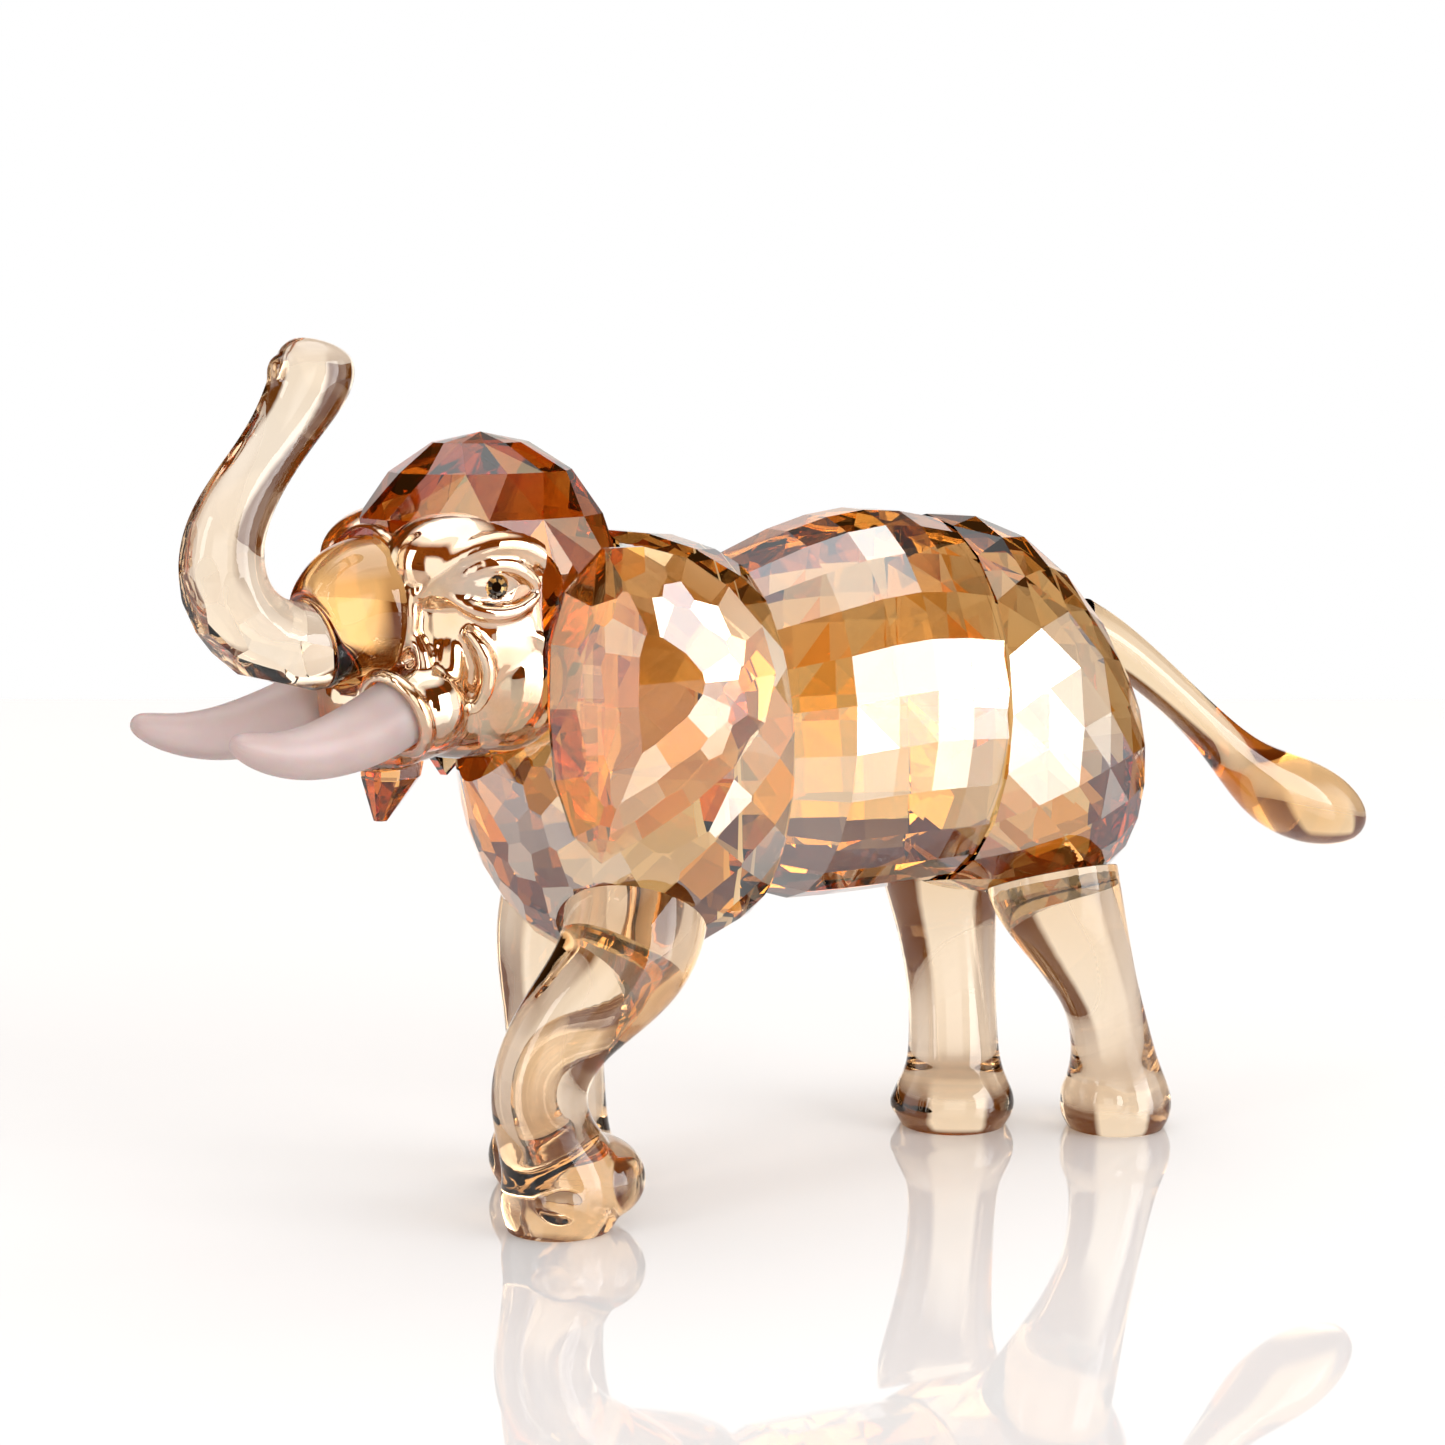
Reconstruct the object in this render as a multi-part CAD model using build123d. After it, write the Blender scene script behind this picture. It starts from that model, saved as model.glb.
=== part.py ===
"""Cut crystal elephant figurine: ground and moulded glass pieces bonded on flat seats.

Millimetres, +Z up.  The elephant walks towards -X and its left side is -Y.  Every piece is
laid out in the figure's own coordinates, where X = 0 lies between the rear feet, and the
finished set is moved so that the origin is the middle of the bounding box's base.
"""
import os
from math import cos, pi, sin

from build123d import *

# ---- driving dimensions ------------------------------------------------------------------
UP = Vector(0, 0, 1)
FORWARD = Vector(-1, 0, 0)
MESH_TOLERANCE = 0.05     # used only to measure the finished figure's box
FILM = 0.10               # thickness of the clear adhesive film in every bonded joint
POCKET_GAP = 0.8          # room round a limb where it stands in its ground pocket

CHEST_CENTRE = (-76.0, 0.0, 67.0)
CHEST_FRONT = 23.3        # semi-axis ahead of the centre
CHEST_REAR = 35.0         # semi-axis behind the centre, cut short by the barrel
CHEST_WIDTH = 24.5        # semi-axis across
CHEST_HEIGHT = 31.5       # semi-axis up

SHOULDER_X = -58.2        # chest-to-barrel joint
LOIN_X = -21.8            # barrel-to-rump joint
BARREL_SIDES = 24         # flat facets round each barrel ring
BARREL_ASPECT = 0.82      # barrel width over its height
BARREL_RINGS = (          # x, centre height, half height
    (SHOULDER_X + FILM / 2, 69.6, 24.6),
    (-48.6, 70.0, 28.0),
    (-41.8, 70.9, 29.0),
    (-35.2, 71.4, 29.4),
    (-28.8, 71.3, 29.1),
    (LOIN_X - FILM / 2, 70.8, 28.3),
)

RUMP_SIDES = 20           # points round each rump ring, staggered from ring to ring
RUMP_RINGS = (            # x, centre height, half height, half width
    (LOIN_X + FILM / 2, 70.6, 28.7, 23.7),
    (-15.2, 69.7, 29.6, 24.1),
    (-8.6, 67.9, 29.3, 23.7),
    (-2.4, 65.4, 27.4, 22.3),
    (3.6, 62.6, 24.0, 19.8),
    (8.8, 60.0, 19.0, 16.2),
    (12.4, 58.0, 12.6, 11.2),
    (14.4, 56.8, 5.6, 5.2),
)

NECK_TOP = (-76.0, 0.0, 102.0)
NECK_BASE = (-97.0, 0.0, 69.0)

HEAD_PIVOT = (-80.0, 0.0, 0.0)
HEAD_TURN = 9.0           # degrees that the head looks to its left
HEAD_CENTRE = (-19.3, 0.0, 90.4)
HEAD_SEMI = (20.8, 17.0, 22.9)
MUZZLE_CENTRE = (-34.0, 0.0, 76.8)
MUZZLE_SEMI = (11.5, 13.0, 9.6)

TRUNK_SEAT = (-38.0, 0.0, 90.0)
TRUNK_SEAT_RADIUS = 10.0
TRUNK_JOINT = (-47.5, 0.0, 85.3)
TRUNK_JOINT_RADIUS = 6.3
TRUNK_DIRECTION = Vector(-0.982, 0.0, -0.187)
TRUNK_SHOULDER = (-43.2, 0.0, 88.0)
TRUNK_SHOULDER_RADIUS = 8.6
TRUNK_POCKET_GAP = 1.0
TRUNK_PATH = (            # x, z and radius down the middle of the raised trunk
    (-52.2, 85.3, 6.3),
    (-56.8, 87.5, 6.3),
    (-60.2, 91.2, 6.2),
    (-61.6, 96.0, 6.0),
    (-60.9, 101.2, 5.5),
    (-58.0, 106.3, 4.7),
    (-54.2, 111.0, 4.3),
    (-50.6, 115.6, 4.6),
    (-47.6, 120.0, 5.5),
    (-45.6, 124.0, 5.7),
    (-44.8, 126.4, 3.4),
)

EYE_PLACE = (-27.8, 15.4, 93.2)
EYE_RADIUS = 1.65
EYE_DEPTH = 1.2
EYE_CROWN = 0.6           # height and width of the chamfered crown
EYE_GAP = 0.05

TUSK_PATH = (             # x, distance from the middle, z and radius from root to tip
    (-39.8, 9.8, 76.6, 4.9),
    (-45.5, 10.6, 74.3, 4.8),
    (-51.0, 11.4, 73.0, 4.3),
    (-56.0, 12.1, 72.4, 3.7),
    (-60.8, 12.7, 72.7, 3.0),
    (-65.0, 13.1, 73.8, 2.3),
    (-68.2, 13.3, 75.2, 1.3),
)
TUSK_POCKET_GAP = 0.3

JAW_TOP = (-34.8, 0.0, 68.6)
JAW_RINGS = ((0.0, 4.6, 0.0), (2.6, 4.2, 0.2), (8.6, 1.0, 2.0))  # drop, radius, forward
JAW_SIDES = 8
JAW_POCKET_GAP = 0.4

EAR_HINGE = (-18.0, 16.9)  # where the flat back of an ear starts: x, distance from the middle
EAR_FLARE = 20.0           # degrees that the ear opens outwards
EAR_THICKNESS = 5.4
EAR_OUTLINE = (            # distance behind the hinge line, height; the rim of the ear
    (6.0, 98.0), (0.4, 92.0), (-1.7, 85.0), (-1.9, 76.0), (-1.1, 66.0), (1.5, 58.0),
    (5.4, 54.0), (11.4, 57.2), (18.6, 61.6), (25.0, 66.6), (29.6, 72.8), (31.2, 79.6),
    (29.2, 86.4), (24.2, 92.2), (18.0, 96.4), (11.8, 98.1),
)
RIGHT_EAR_RAISE = 8.0      # the right ear is bonded higher on the skull than the left
EAR_FRONT = -1.9           # foremost point of the ear's rim
EAR_BOTTOM = 52.0          # below the ear's lowest point
EAR_RIM = 1.2              # height of the upright rim
EAR_DOME = 14.0            # distance from the rim to where the dome is level
EAR_INSETS = (1.5, 5.0, 9.0)  # where each row of facets touches the dome, from the rim

NECK_FILM_RADIUS = 16.0
SHOULDER_FILM_RADIUS = 19.0
LOIN_FILM_RADIUS = 22.0
EAR_FILM_CENTRE = (6.0, 91.0)
EAR_FILM_RADIUS = 4.0

# Each leg: seat centre, direction into the body, then the stations down to the sole as
# x, y, z and radius.
LEG_SEAT_RADIUS = 10.4
LEGS = {
    "front_left_leg": (
        (-79.8, -12.6, 43.6), (0.42, 0.46, 0.78),
        ((-83.0, -15.2, 38.6, 9.8), (-87.6, -15.6, 34.2, 8.4), (-92.6, -15.4, 29.8, 7.3),
         (-95.9, -14.9, 24.6, 7.1), (-96.7, -14.4, 19.4, 7.2), (-95.4, -14.0, 14.0, 7.4),
         (-93.4, -13.6, 9.4, 8.8), (-92.2, -13.2, 5.2, 10.0), (-91.8, -13.0, 1.8, 9.9),
         (-91.6, -13.0, -0.6, 8.2))),
    "front_right_leg": (
        (-81.0, 12.2, 43.0), (0.06, -0.38, 0.92),
        ((-81.0, 13.4, 36.0, 8.8), (-80.6, 12.8, 28.6, 7.6), (-80.4, 11.8, 21.0, 7.2),
         (-80.8, 10.8, 13.6, 7.4), (-81.6, 10.0, 8.0, 8.9), (-82.2, 9.5, 4.4, 10.0),
         (-82.4, 9.2, 1.6, 9.9), (-82.4, 9.2, -0.6, 8.4))),
    "rear_left_leg": (
        (-4.6, -10.4, 42.6), (-0.02, 0.32, 0.95),
        ((-2.4, -11.6, 36.4, 9.2), (1.6, -11.2, 29.4, 7.3), (5.8, -9.8, 22.4, 6.0),
         (9.0, -8.2, 15.0, 6.3), (10.4, -7.2, 9.4, 7.8), (11.1, -6.7, 5.0, 9.1),
         (11.4, -6.5, 1.8, 9.3), (11.4, -6.5, -0.6, 8.0))),
    "rear_right_leg": (
        (-10.8, 10.6, 43.2), (0.02, -0.36, 0.93),
        ((-10.0, 11.8, 36.0, 8.6), (-9.2, 11.4, 28.4, 7.6), (-9.1, 10.4, 20.6, 7.0),
         (-9.5, 9.4, 13.4, 7.2), (-9.9, 8.6, 8.2, 8.6), (-10.2, 8.2, 4.6, 10.0),
         (-10.4, 8.0, 1.6, 10.2), (-10.4, 8.0, -0.6, 9.0))),
}

TAIL_SEAT = (6.6, 0.0, 81.2)
TAIL_OUT = (0.84, -0.03, -0.54)
TAIL_SEAT_RADIUS = 4.4
TAIL_PATH = (             # x, y, z and radius from the rump to the end of the tuft
    (12.4, -0.3, 78.4, 4.0),
    (19.0, -0.8, 73.9, 3.6),
    (26.6, -1.4, 67.8, 3.3),
    (33.4, -2.0, 61.8, 3.5),
    (39.0, -2.6, 56.4, 4.6),
    (44.6, -3.0, 52.4, 6.3),
    (50.6, -3.4, 49.6, 6.9),
    (56.4, -3.6, 47.4, 6.2),
    (61.2, -3.6, 45.4, 4.2),
    (63.4, -3.6, 44.3, 2.0),
)


# ---- shared shape functions --------------------------------------------------------------
def clip(polygon, normal, offset):
    """The part of a flat polygon that lies behind one cutting plane."""
    kept = []
    for start, end in zip(polygon, polygon[1:] + polygon[:1]):
        before = normal.dot(start) - offset
        after = normal.dot(end) - offset
        if before <= 0:
            kept.append(start)
        if (before < 0 < after) or (after < 0 < before):
            kept.append(start + (end - start) * (before / (before - after)))
    return kept


def cut_stone(cuts, reach=120.0):
    """A convex stone, ground flat by every plane of cuts: (outward normal, distance)."""
    facets = []
    for index, (normal, offset) in enumerate(cuts):
        table = Plane(origin=normal * offset, z_dir=normal)
        corners = ((-reach, -reach), (reach, -reach), (reach, reach), (-reach, reach))
        polygon = [table.from_local_coords(Vector(u, v, 0)) for u, v in corners]
        for other, (cut_normal, cut_offset) in enumerate(cuts):
            if other != index and polygon:
                polygon = clip(polygon, cut_normal, cut_offset)
        if len(polygon) > 2:
            facets.append(Face(Wire.make_polygon(polygon, close=True)))
    return Solid(Shell(facets))


def ellipsoid_cuts(centre, front, rear, width, height, rows):
    """Cutting planes in staggered rows round an ellipsoid that lies along X.

    Each row is (angle from the front pole in degrees, number of facets).
    """
    cuts = []
    for row, (polar, count) in enumerate(rows):
        theta = polar * pi / 180
        length = front if polar < 90 else rear
        for step in range(count):
            phi = 2 * pi * (step + 0.5 * (row % 2)) / count
            touch = Vector(-length * cos(theta), width * sin(theta) * sin(phi),
                           height * sin(theta) * cos(phi))
            normal = Vector(touch.X / length**2, touch.Y / width**2, touch.Z / height**2)
            normal = normal.normalized()
            cuts.append((normal, normal.dot(touch + Vector(*centre))))
    return cuts


def plane_cut(point, outward):
    """One cutting plane through a point."""
    normal = Vector(*outward).normalized()
    return normal, normal.dot(Vector(*point))


def flat(*corners):
    """One flat facet."""
    return Face(Wire.make_polygon(corners, close=True))


def ring_loops(rings, sides, stagger):
    """Points round each ring: (x, centre height, half height, half width)."""
    loops = []
    for index, (x, middle, high, wide) in enumerate(rings):
        turn = 0.5 * (index % 2) if stagger else 0.5
        angles = [2 * pi * (step + turn) / sides for step in range(sides)]
        loops.append([Vector(x, wide * sin(a), middle + high * cos(a)) for a in angles])
    return loops


def quad_stone(loops):
    """A stone whose loops line up, with one four-sided facet between each pair of points."""
    facets = [flat(*loops[0]), flat(*loops[-1])]
    for near, far in zip(loops, loops[1:]):
        for step in range(len(near)):
            after = (step + 1) % len(near)
            facets.append(flat(near[step], near[after], far[after], far[step]))
    return Solid(Shell(facets))


def triangle_stone(loops):
    """A stone whose loops are staggered by half a step, with triangles between them."""
    facets = [flat(*loops[0]), flat(*loops[-1])]
    count = len(loops[0])
    for index, (near, far) in enumerate(zip(loops, loops[1:])):
        ahead = 0 if index % 2 == 0 else 1
        for step in range(count):
            after = (step + 1) % count
            tip = (step + ahead) % count
            facets.append(flat(near[step], near[after], far[tip]))
            facets.append(flat(far[tip], far[(tip + 1) % count], near[after]))
    return Solid(Shell(facets))


def round_section(centre, direction, radius):
    """A round cross-section square to a direction."""
    return Plane(origin=centre, z_dir=direction) * Circle(radius)


def moulded_limb(stations, start=None, end=None):
    """A smooth limb through round stations (x, y, z, radius).

    start and end are the directions of the first and last sections; without them the
    sections stand square to the line of centres.
    """
    centres = [Vector(*station[:3]) for station in stations]
    sections = []
    for index, station in enumerate(stations):
        before = centres[max(index - 1, 0)]
        after = centres[min(index + 1, len(centres) - 1)]
        direction = after - before
        if index == 0 and start is not None:
            direction = Vector(*start)
        if index == len(stations) - 1 and end is not None:
            direction = Vector(*end)
        sections.append(round_section(centres[index], direction, station[3]))
    return loft(sections)


def trim(shape, point, direction):
    """What lies beyond the plane through a point, on the side of a direction."""
    return split(shape, bisect_by=Plane(origin=point, z_dir=direction), keep=Keep.TOP)


def disc(centre, direction, radius, thickness):
    """A flat disc that starts at centre and grows along direction."""
    return extrude(round_section(centre, direction, radius), thickness)


def ball(centre, semi):
    """A smooth ellipsoid."""
    return Pos(*centre) * scale(Sphere(1.0), by=semi)


def in_head(shape):
    """Turns a piece that was laid out on a straight head to the head's real direction."""
    return Location(HEAD_PIVOT, (0, 0, HEAD_TURN)) * shape


def mirrored(shape):
    """The same piece on the other side of the middle plane."""
    return mirror(shape, about=Plane.XZ)


# ---- body --------------------------------------------------------------------------------
CHEST_ROWS = [(polar, 16) for polar in range(24, 60, 9)] + [(polar, 18) for polar in range(60, 130, 9)]


def neck_direction():
    """Unit direction from the chest into the head, square to the neck joint."""
    slope = Vector(*NECK_TOP) - Vector(*NECK_BASE)
    return Vector(-slope.Z, 0, slope.X).normalized()


def limb_pocket(centre, inward, radius):
    """The hole that a limb's flat seat is ground into."""
    outward = Vector(*inward) * -1
    return disc(Vector(*centre), outward, radius + POCKET_GAP, 40.0)


def make_chest():
    """Shoulder block: staggered facets, flat at the neck and at the barrel."""
    cuts = ellipsoid_cuts(CHEST_CENTRE, CHEST_FRONT, CHEST_REAR, CHEST_WIDTH, CHEST_HEIGHT,
                          CHEST_ROWS)
    cuts.append(plane_cut((SHOULDER_X - FILM / 2, 0, 0), (1, 0, 0)))
    into_head = neck_direction()
    cuts.append(plane_cut(Vector(*NECK_TOP) - into_head * FILM / 2, into_head))
    chest = cut_stone(cuts)
    for name in ("front_left_leg", "front_right_leg"):
        seat, inward, _ = LEGS[name]
        chest -= limb_pocket(seat, inward, LEG_SEAT_RADIUS)
    chest -= in_head(ear_room())
    chest -= in_head(mirrored(ear_room()))
    return chest


def make_barrel():
    """Barrel: aligned rings of flat facets between the shoulder and the loin."""
    rings = [(x, middle, half, half * BARREL_ASPECT) for x, middle, half in BARREL_RINGS]
    return quad_stone(ring_loops(rings, BARREL_SIDES, stagger=False))


def make_rump():
    """Rump: triangular facets that close over the back, flat at the loin."""
    rump = triangle_stone(ring_loops(RUMP_RINGS, RUMP_SIDES, stagger=True))
    for name in ("rear_left_leg", "rear_right_leg"):
        seat, inward, _ = LEGS[name]
        rump -= limb_pocket(seat, inward, LEG_SEAT_RADIUS)
    rump -= limb_pocket(TAIL_SEAT, Vector(*TAIL_OUT) * -1, TAIL_SEAT_RADIUS)
    return rump


# ---- head --------------------------------------------------------------------------------
HEAD_ROWS = ((18, 5), (34, 9), (48, 12), (62, 14), (76, 14), (90, 14), (104, 14), (118, 14), (132, 10))
EAR_BLANK = (70.0, 90.0, 30.0)


def ear_plane():
    """The flat back of the left ear: X runs to the rear rim and Z points outwards."""
    flare = EAR_FLARE * pi / 180
    along = Vector(cos(flare), -sin(flare), 0)
    origin = Vector(EAR_HINGE[0], -EAR_HINGE[1], 0)
    return Plane(origin=origin, x_dir=along, z_dir=along.cross(Vector(0, 0, 1)))


def ear_room():
    """The space that the left ear stands in, with the film behind it."""
    room = Box(*EAR_BLANK, align=(Align.MIN, Align.MIN, Align.MIN))
    return ear_plane() * (Pos(EAR_FRONT - POCKET_GAP, EAR_BOTTOM, -FILM) * room)


def make_left_ear():
    """Left ear: flat back, upright rim and rows of facets that dome towards the middle."""
    back = ear_plane()
    outward = back.z_dir
    cuts = [(outward * -1, outward.dot(back.origin) * -1)]
    rise = EAR_THICKNESS - EAR_RIM
    count = len(EAR_OUTLINE)
    rim = [back.from_local_coords(Vector(u, v, 0)) for u, v in EAR_OUTLINE]
    sides = []
    for index in range(count):
        edge = (rim[(index + 1) % count] - rim[index]).normalized()
        side = edge.cross(outward)
        sides.append(side)
        cuts.append((side, side.dot(rim[index])))
    for row, inset in enumerate(EAR_INSETS):
        open_part = 1 - inset / EAR_DOME
        slope = 2 * rise / EAR_DOME * open_part
        height = EAR_RIM + rise * (1 - open_part**2)
        for index in range(count):
            side = sides[index]
            if row % 2:
                side = (sides[index] + sides[index - 1]).normalized()
            touch = rim[index] - side * inset + outward * height
            normal = (outward + side * slope).normalized()
            cuts.append((normal, normal.dot(touch)))
    top = back.origin + outward * EAR_THICKNESS
    cuts.append((outward, outward.dot(top)))
    return cut_stone(cuts)


def make_head():
    """Head: faceted skull with a smooth muzzle, and seats for everything it carries."""
    length, width, height = HEAD_SEMI
    skull = cut_stone(ellipsoid_cuts(HEAD_CENTRE, length, length, width, height, HEAD_ROWS))
    head = skull + ball(MUZZLE_CENTRE, MUZZLE_SEMI)
    head -= disc(Vector(*TRUNK_SEAT), FORWARD, TRUNK_SEAT_RADIUS + TRUNK_POCKET_GAP, 30.0)
    jaw_seat = Vector(*JAW_TOP) + UP * FILM
    head -= disc(jaw_seat, UP * -1, JAW_RINGS[0][1] + JAW_POCKET_GAP, 20.0)
    for blank in (ear_room(), tusk_pocket(), eye_pocket()):
        head -= blank
        head -= mirrored(blank)
    head = in_head(head)
    into_head = neck_direction()
    neck = Plane(origin=Vector(*NECK_TOP) + into_head * FILM / 2, z_dir=into_head)
    return split(head, bisect_by=neck, keep=Keep.TOP)


def make_trunk_root():
    """Trunk root: a short cone from the face to the trunk joint."""
    sections = [
        round_section(Vector(*TRUNK_SEAT) + FORWARD * FILM, FORWARD, TRUNK_SEAT_RADIUS),
        round_section(TRUNK_SHOULDER, FORWARD, TRUNK_SHOULDER_RADIUS),
        round_section(TRUNK_JOINT, TRUNK_DIRECTION, TRUNK_JOINT_RADIUS),
    ]
    return loft(sections)


def make_trunk():
    """Trunk: smooth, swept forward and up, with a flared tip."""
    start = Vector(*TRUNK_JOINT) + TRUNK_DIRECTION * FILM
    stations = [(start.X, start.Y, start.Z, TRUNK_JOINT_RADIUS)]
    stations += [(x, 0.0, z, radius) for x, z, radius in TRUNK_PATH]
    return moulded_limb(stations, start=TRUNK_DIRECTION)


def tusk_direction():
    """Direction in which the left tusk leaves its socket."""
    root = Vector(TUSK_PATH[0][0], -TUSK_PATH[0][1], TUSK_PATH[0][2])
    after = Vector(TUSK_PATH[1][0], -TUSK_PATH[1][1], TUSK_PATH[1][2])
    return (after - root).normalized()


def tusk_pocket():
    """The blind socket of the left tusk."""
    x, aside, z, radius = TUSK_PATH[0]
    outward = tusk_direction()
    return disc(Vector(x, -aside, z) - outward * FILM, outward, radius + TUSK_POCKET_GAP, 20.0)


def make_left_tusk():
    """Left tusk: smooth, bent forward and slightly up."""
    stations = [(x, -aside, z, radius) for x, aside, z, radius in TUSK_PATH]
    tusk = moulded_limb(stations, start=tusk_direction())
    return trim(tusk, stations[0][:3], tusk_direction())


def eye_direction():
    """Direction in which the left eye looks, square to the side of the skull."""
    return Vector(-0.322, -0.943, 0.077).normalized()


def eye_pocket():
    """The shallow round setting of the left eye."""
    outward = eye_direction()
    base = Vector(EYE_PLACE[0], -EYE_PLACE[1], EYE_PLACE[2]) - outward * EYE_DEPTH
    return disc(base, outward, EYE_RADIUS + EYE_GAP, 10.0)


def make_left_eye():
    """Left eye: a small round stone with a chamfered crown."""
    outward = eye_direction()
    base = Vector(EYE_PLACE[0], -EYE_PLACE[1], EYE_PLACE[2]) - outward * EYE_DEPTH
    stone = Cylinder(EYE_RADIUS, EYE_DEPTH + EYE_CROWN,
                     align=(Align.CENTER, Align.CENTER, Align.MIN))
    stone = chamfer(stone.edges().sort_by(Axis.Z)[-1:], EYE_CROWN)
    return Plane(origin=base, z_dir=outward) * stone


def make_lower_jaw():
    """Lower jaw: a small pointed stone with flat sides."""
    loops = []
    for drop, radius, forward in JAW_RINGS:
        middle = Vector(*JAW_TOP) + FORWARD * forward + UP * -drop
        angles = [2 * pi * (step + 0.5) / JAW_SIDES for step in range(JAW_SIDES)]
        loops.append([middle + Vector(radius * cos(a), radius * sin(a), 0) for a in angles])
    facets = [Face(Wire.make_polygon(loops[0], close=True)),
              Face(Wire.make_polygon(loops[-1], close=True))]
    for upper, lower in zip(loops, loops[1:]):
        for step in range(JAW_SIDES):
            after = (step + 1) % JAW_SIDES
            corners = [upper[step], upper[after], lower[after], lower[step]]
            facets.append(Face(Wire.make_polygon(corners, close=True)))
    return Solid(Shell(facets))


# ---- legs and tail -----------------------------------------------------------------------
def make_leg(name):
    """One leg: smooth, from its ground seat to a flat sole at Z = 0."""
    seat, inward, stations = LEGS[name]
    outward = Vector(*inward).normalized() * -1
    top = Vector(*seat) + outward * FILM
    path = [(top.X, top.Y, top.Z, LEG_SEAT_RADIUS)] + list(stations)
    leg = moulded_limb(path, start=outward, end=UP * -1)
    return trim(trim(leg, top, outward), (0, 0, 0), UP)


def make_tail():
    """Tail: smooth, swinging out behind and ending in a thick teardrop tuft."""
    outward = Vector(*TAIL_OUT).normalized()
    root = Vector(*TAIL_SEAT) + outward * FILM
    path = [(root.X, root.Y, root.Z, TAIL_SEAT_RADIUS)] + list(TAIL_PATH)
    return trim(moulded_limb(path, start=outward), root, outward)


# ---- clear adhesive films ----------------------------------------------------------------
def seat_film(centre, direction, radius):
    """The film that starts on a seat and grows towards the piece bonded to it."""
    return disc(Vector(*centre), Vector(*direction).normalized(), radius, FILM)


def make_body_bonds():
    """Films at the neck, the shoulder and the loin."""
    into_head = neck_direction()
    neck_middle = (Vector(*NECK_TOP) + Vector(*NECK_BASE)) / 2 - into_head * FILM / 2
    shoulder = (SHOULDER_X - FILM / 2, 0, BARREL_RINGS[0][1])
    loin = (LOIN_X - FILM / 2, 0, BARREL_RINGS[-1][1])
    return [
        seat_film(neck_middle, into_head, NECK_FILM_RADIUS),
        seat_film(shoulder, (1, 0, 0), SHOULDER_FILM_RADIUS),
        seat_film(loin, (1, 0, 0), LOIN_FILM_RADIUS),
    ]


def make_leg_bonds():
    """Films on top of the four legs."""
    films = []
    for seat, inward, _ in LEGS.values():
        films.append(seat_film(seat, Vector(*inward) * -1, LEG_SEAT_RADIUS))
    return films


def make_trunk_bonds():
    """Films at both ends of the trunk root."""
    return [
        in_head(seat_film(TRUNK_SEAT, FORWARD, TRUNK_SEAT_RADIUS)),
        in_head(seat_film(TRUNK_JOINT, TRUNK_DIRECTION, TRUNK_JOINT_RADIUS)),
    ]


def make_tusk_bonds():
    """Films at the roots of both tusks."""
    x, aside, z, radius = TUSK_PATH[0]
    outward = tusk_direction()
    film = seat_film(Vector(x, -aside, z) - outward * FILM, outward, radius)
    return [in_head(film), in_head(mirrored(film))]


def make_ear_bonds():
    """Films between the backs of the ears and the sides of the head."""
    back = ear_plane()
    centre = back.from_local_coords(Vector(EAR_FILM_CENTRE[0], EAR_FILM_CENTRE[1], -FILM))
    film = seat_film(centre, back.z_dir, EAR_FILM_RADIUS)
    return [in_head(film), in_head(mirrored(film))]


def make_jaw_bond():
    """Film on top of the lower jaw."""
    return [in_head(seat_film(JAW_TOP, UP, JAW_RINGS[0][1] * cos(pi / JAW_SIDES)))]


def make_tail_bond():
    """Film at the root of the tail."""
    return [seat_film(TAIL_SEAT, TAIL_OUT, TAIL_SEAT_RADIUS)]


# ---- assembly ----------------------------------------------------------------------------
def make_figure():
    """Every piece by name, in the figure's own coordinates."""
    left_ear = make_left_ear()
    left_tusk = make_left_tusk()
    left_eye = make_left_eye()
    pieces = {
        "chest": make_chest(),
        "barrel": make_barrel(),
        "rump": make_rump(),
        "head": make_head(),
        "trunk_root": in_head(make_trunk_root()),
        "trunk": in_head(make_trunk()),
        "lower_jaw": in_head(make_lower_jaw()),
        "left_tusk": in_head(left_tusk),
        "right_tusk": in_head(mirrored(left_tusk)),
        "left_ear": in_head(left_ear),
        "right_ear": in_head(Pos(0, 0, RIGHT_EAR_RAISE) * mirrored(left_ear)),
        "left_eye": in_head(left_eye),
        "right_eye": in_head(mirrored(left_eye)),
        "tail": make_tail(),
        "body_bonds": make_body_bonds(),
        "leg_bonds": make_leg_bonds(),
        "trunk_bonds": make_trunk_bonds(),
        "tusk_bonds": make_tusk_bonds(),
        "ear_bonds": make_ear_bonds(),
        "jaw_bond": make_jaw_bond(),
        "tail_bond": make_tail_bond(),
    }
    for name in LEGS:
        pieces[name] = make_leg(name)
    return pieces


def solids_of(piece):
    """The separate solids of a piece or of a list of pieces."""
    members = piece if isinstance(piece, list) else [piece]
    return [solid for member in members for solid in member.solids()]


def middle_of(solids):
    """The middle, in plan, of the box round every surface point of the solids."""
    points = [point for solid in solids for point in solid.tessellate(MESH_TOLERANCE)[0]]
    across = [point.X for point in points]
    deep = [point.Y for point in points]
    return Vector((min(across) + max(across)) / 2, (min(deep) + max(deep)) / 2, 0)


figure = {name: solids_of(piece) for name, piece in make_figure().items()}
middle = middle_of([solid for solids in figure.values() for solid in solids])
os.makedirs("parts", exist_ok=True)
for node, solids in figure.items():
    placed = [Pos(-middle.X, -middle.Y, 0) * solid for solid in solids]
    export_step(placed[0] if len(placed) == 1 else Compound(placed), f"parts/{node}.step")
print("the figure's middle was at", middle)
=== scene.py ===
"""Looks of the cut crystal elephant figurine, and the table, lights and camera round it.

Shapes are laid out in the figure's own millimetres: the elephant walks towards -X, its left
side is -Y, and X = 0 lies between the rear feet.  Layout turns those into the frame's metres.
"""
import logging
import math
from dataclasses import dataclass, field
from enum import Enum
from typing import Any, Callable, Sequence

import bpy
from mathutils import Matrix, Vector


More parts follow.
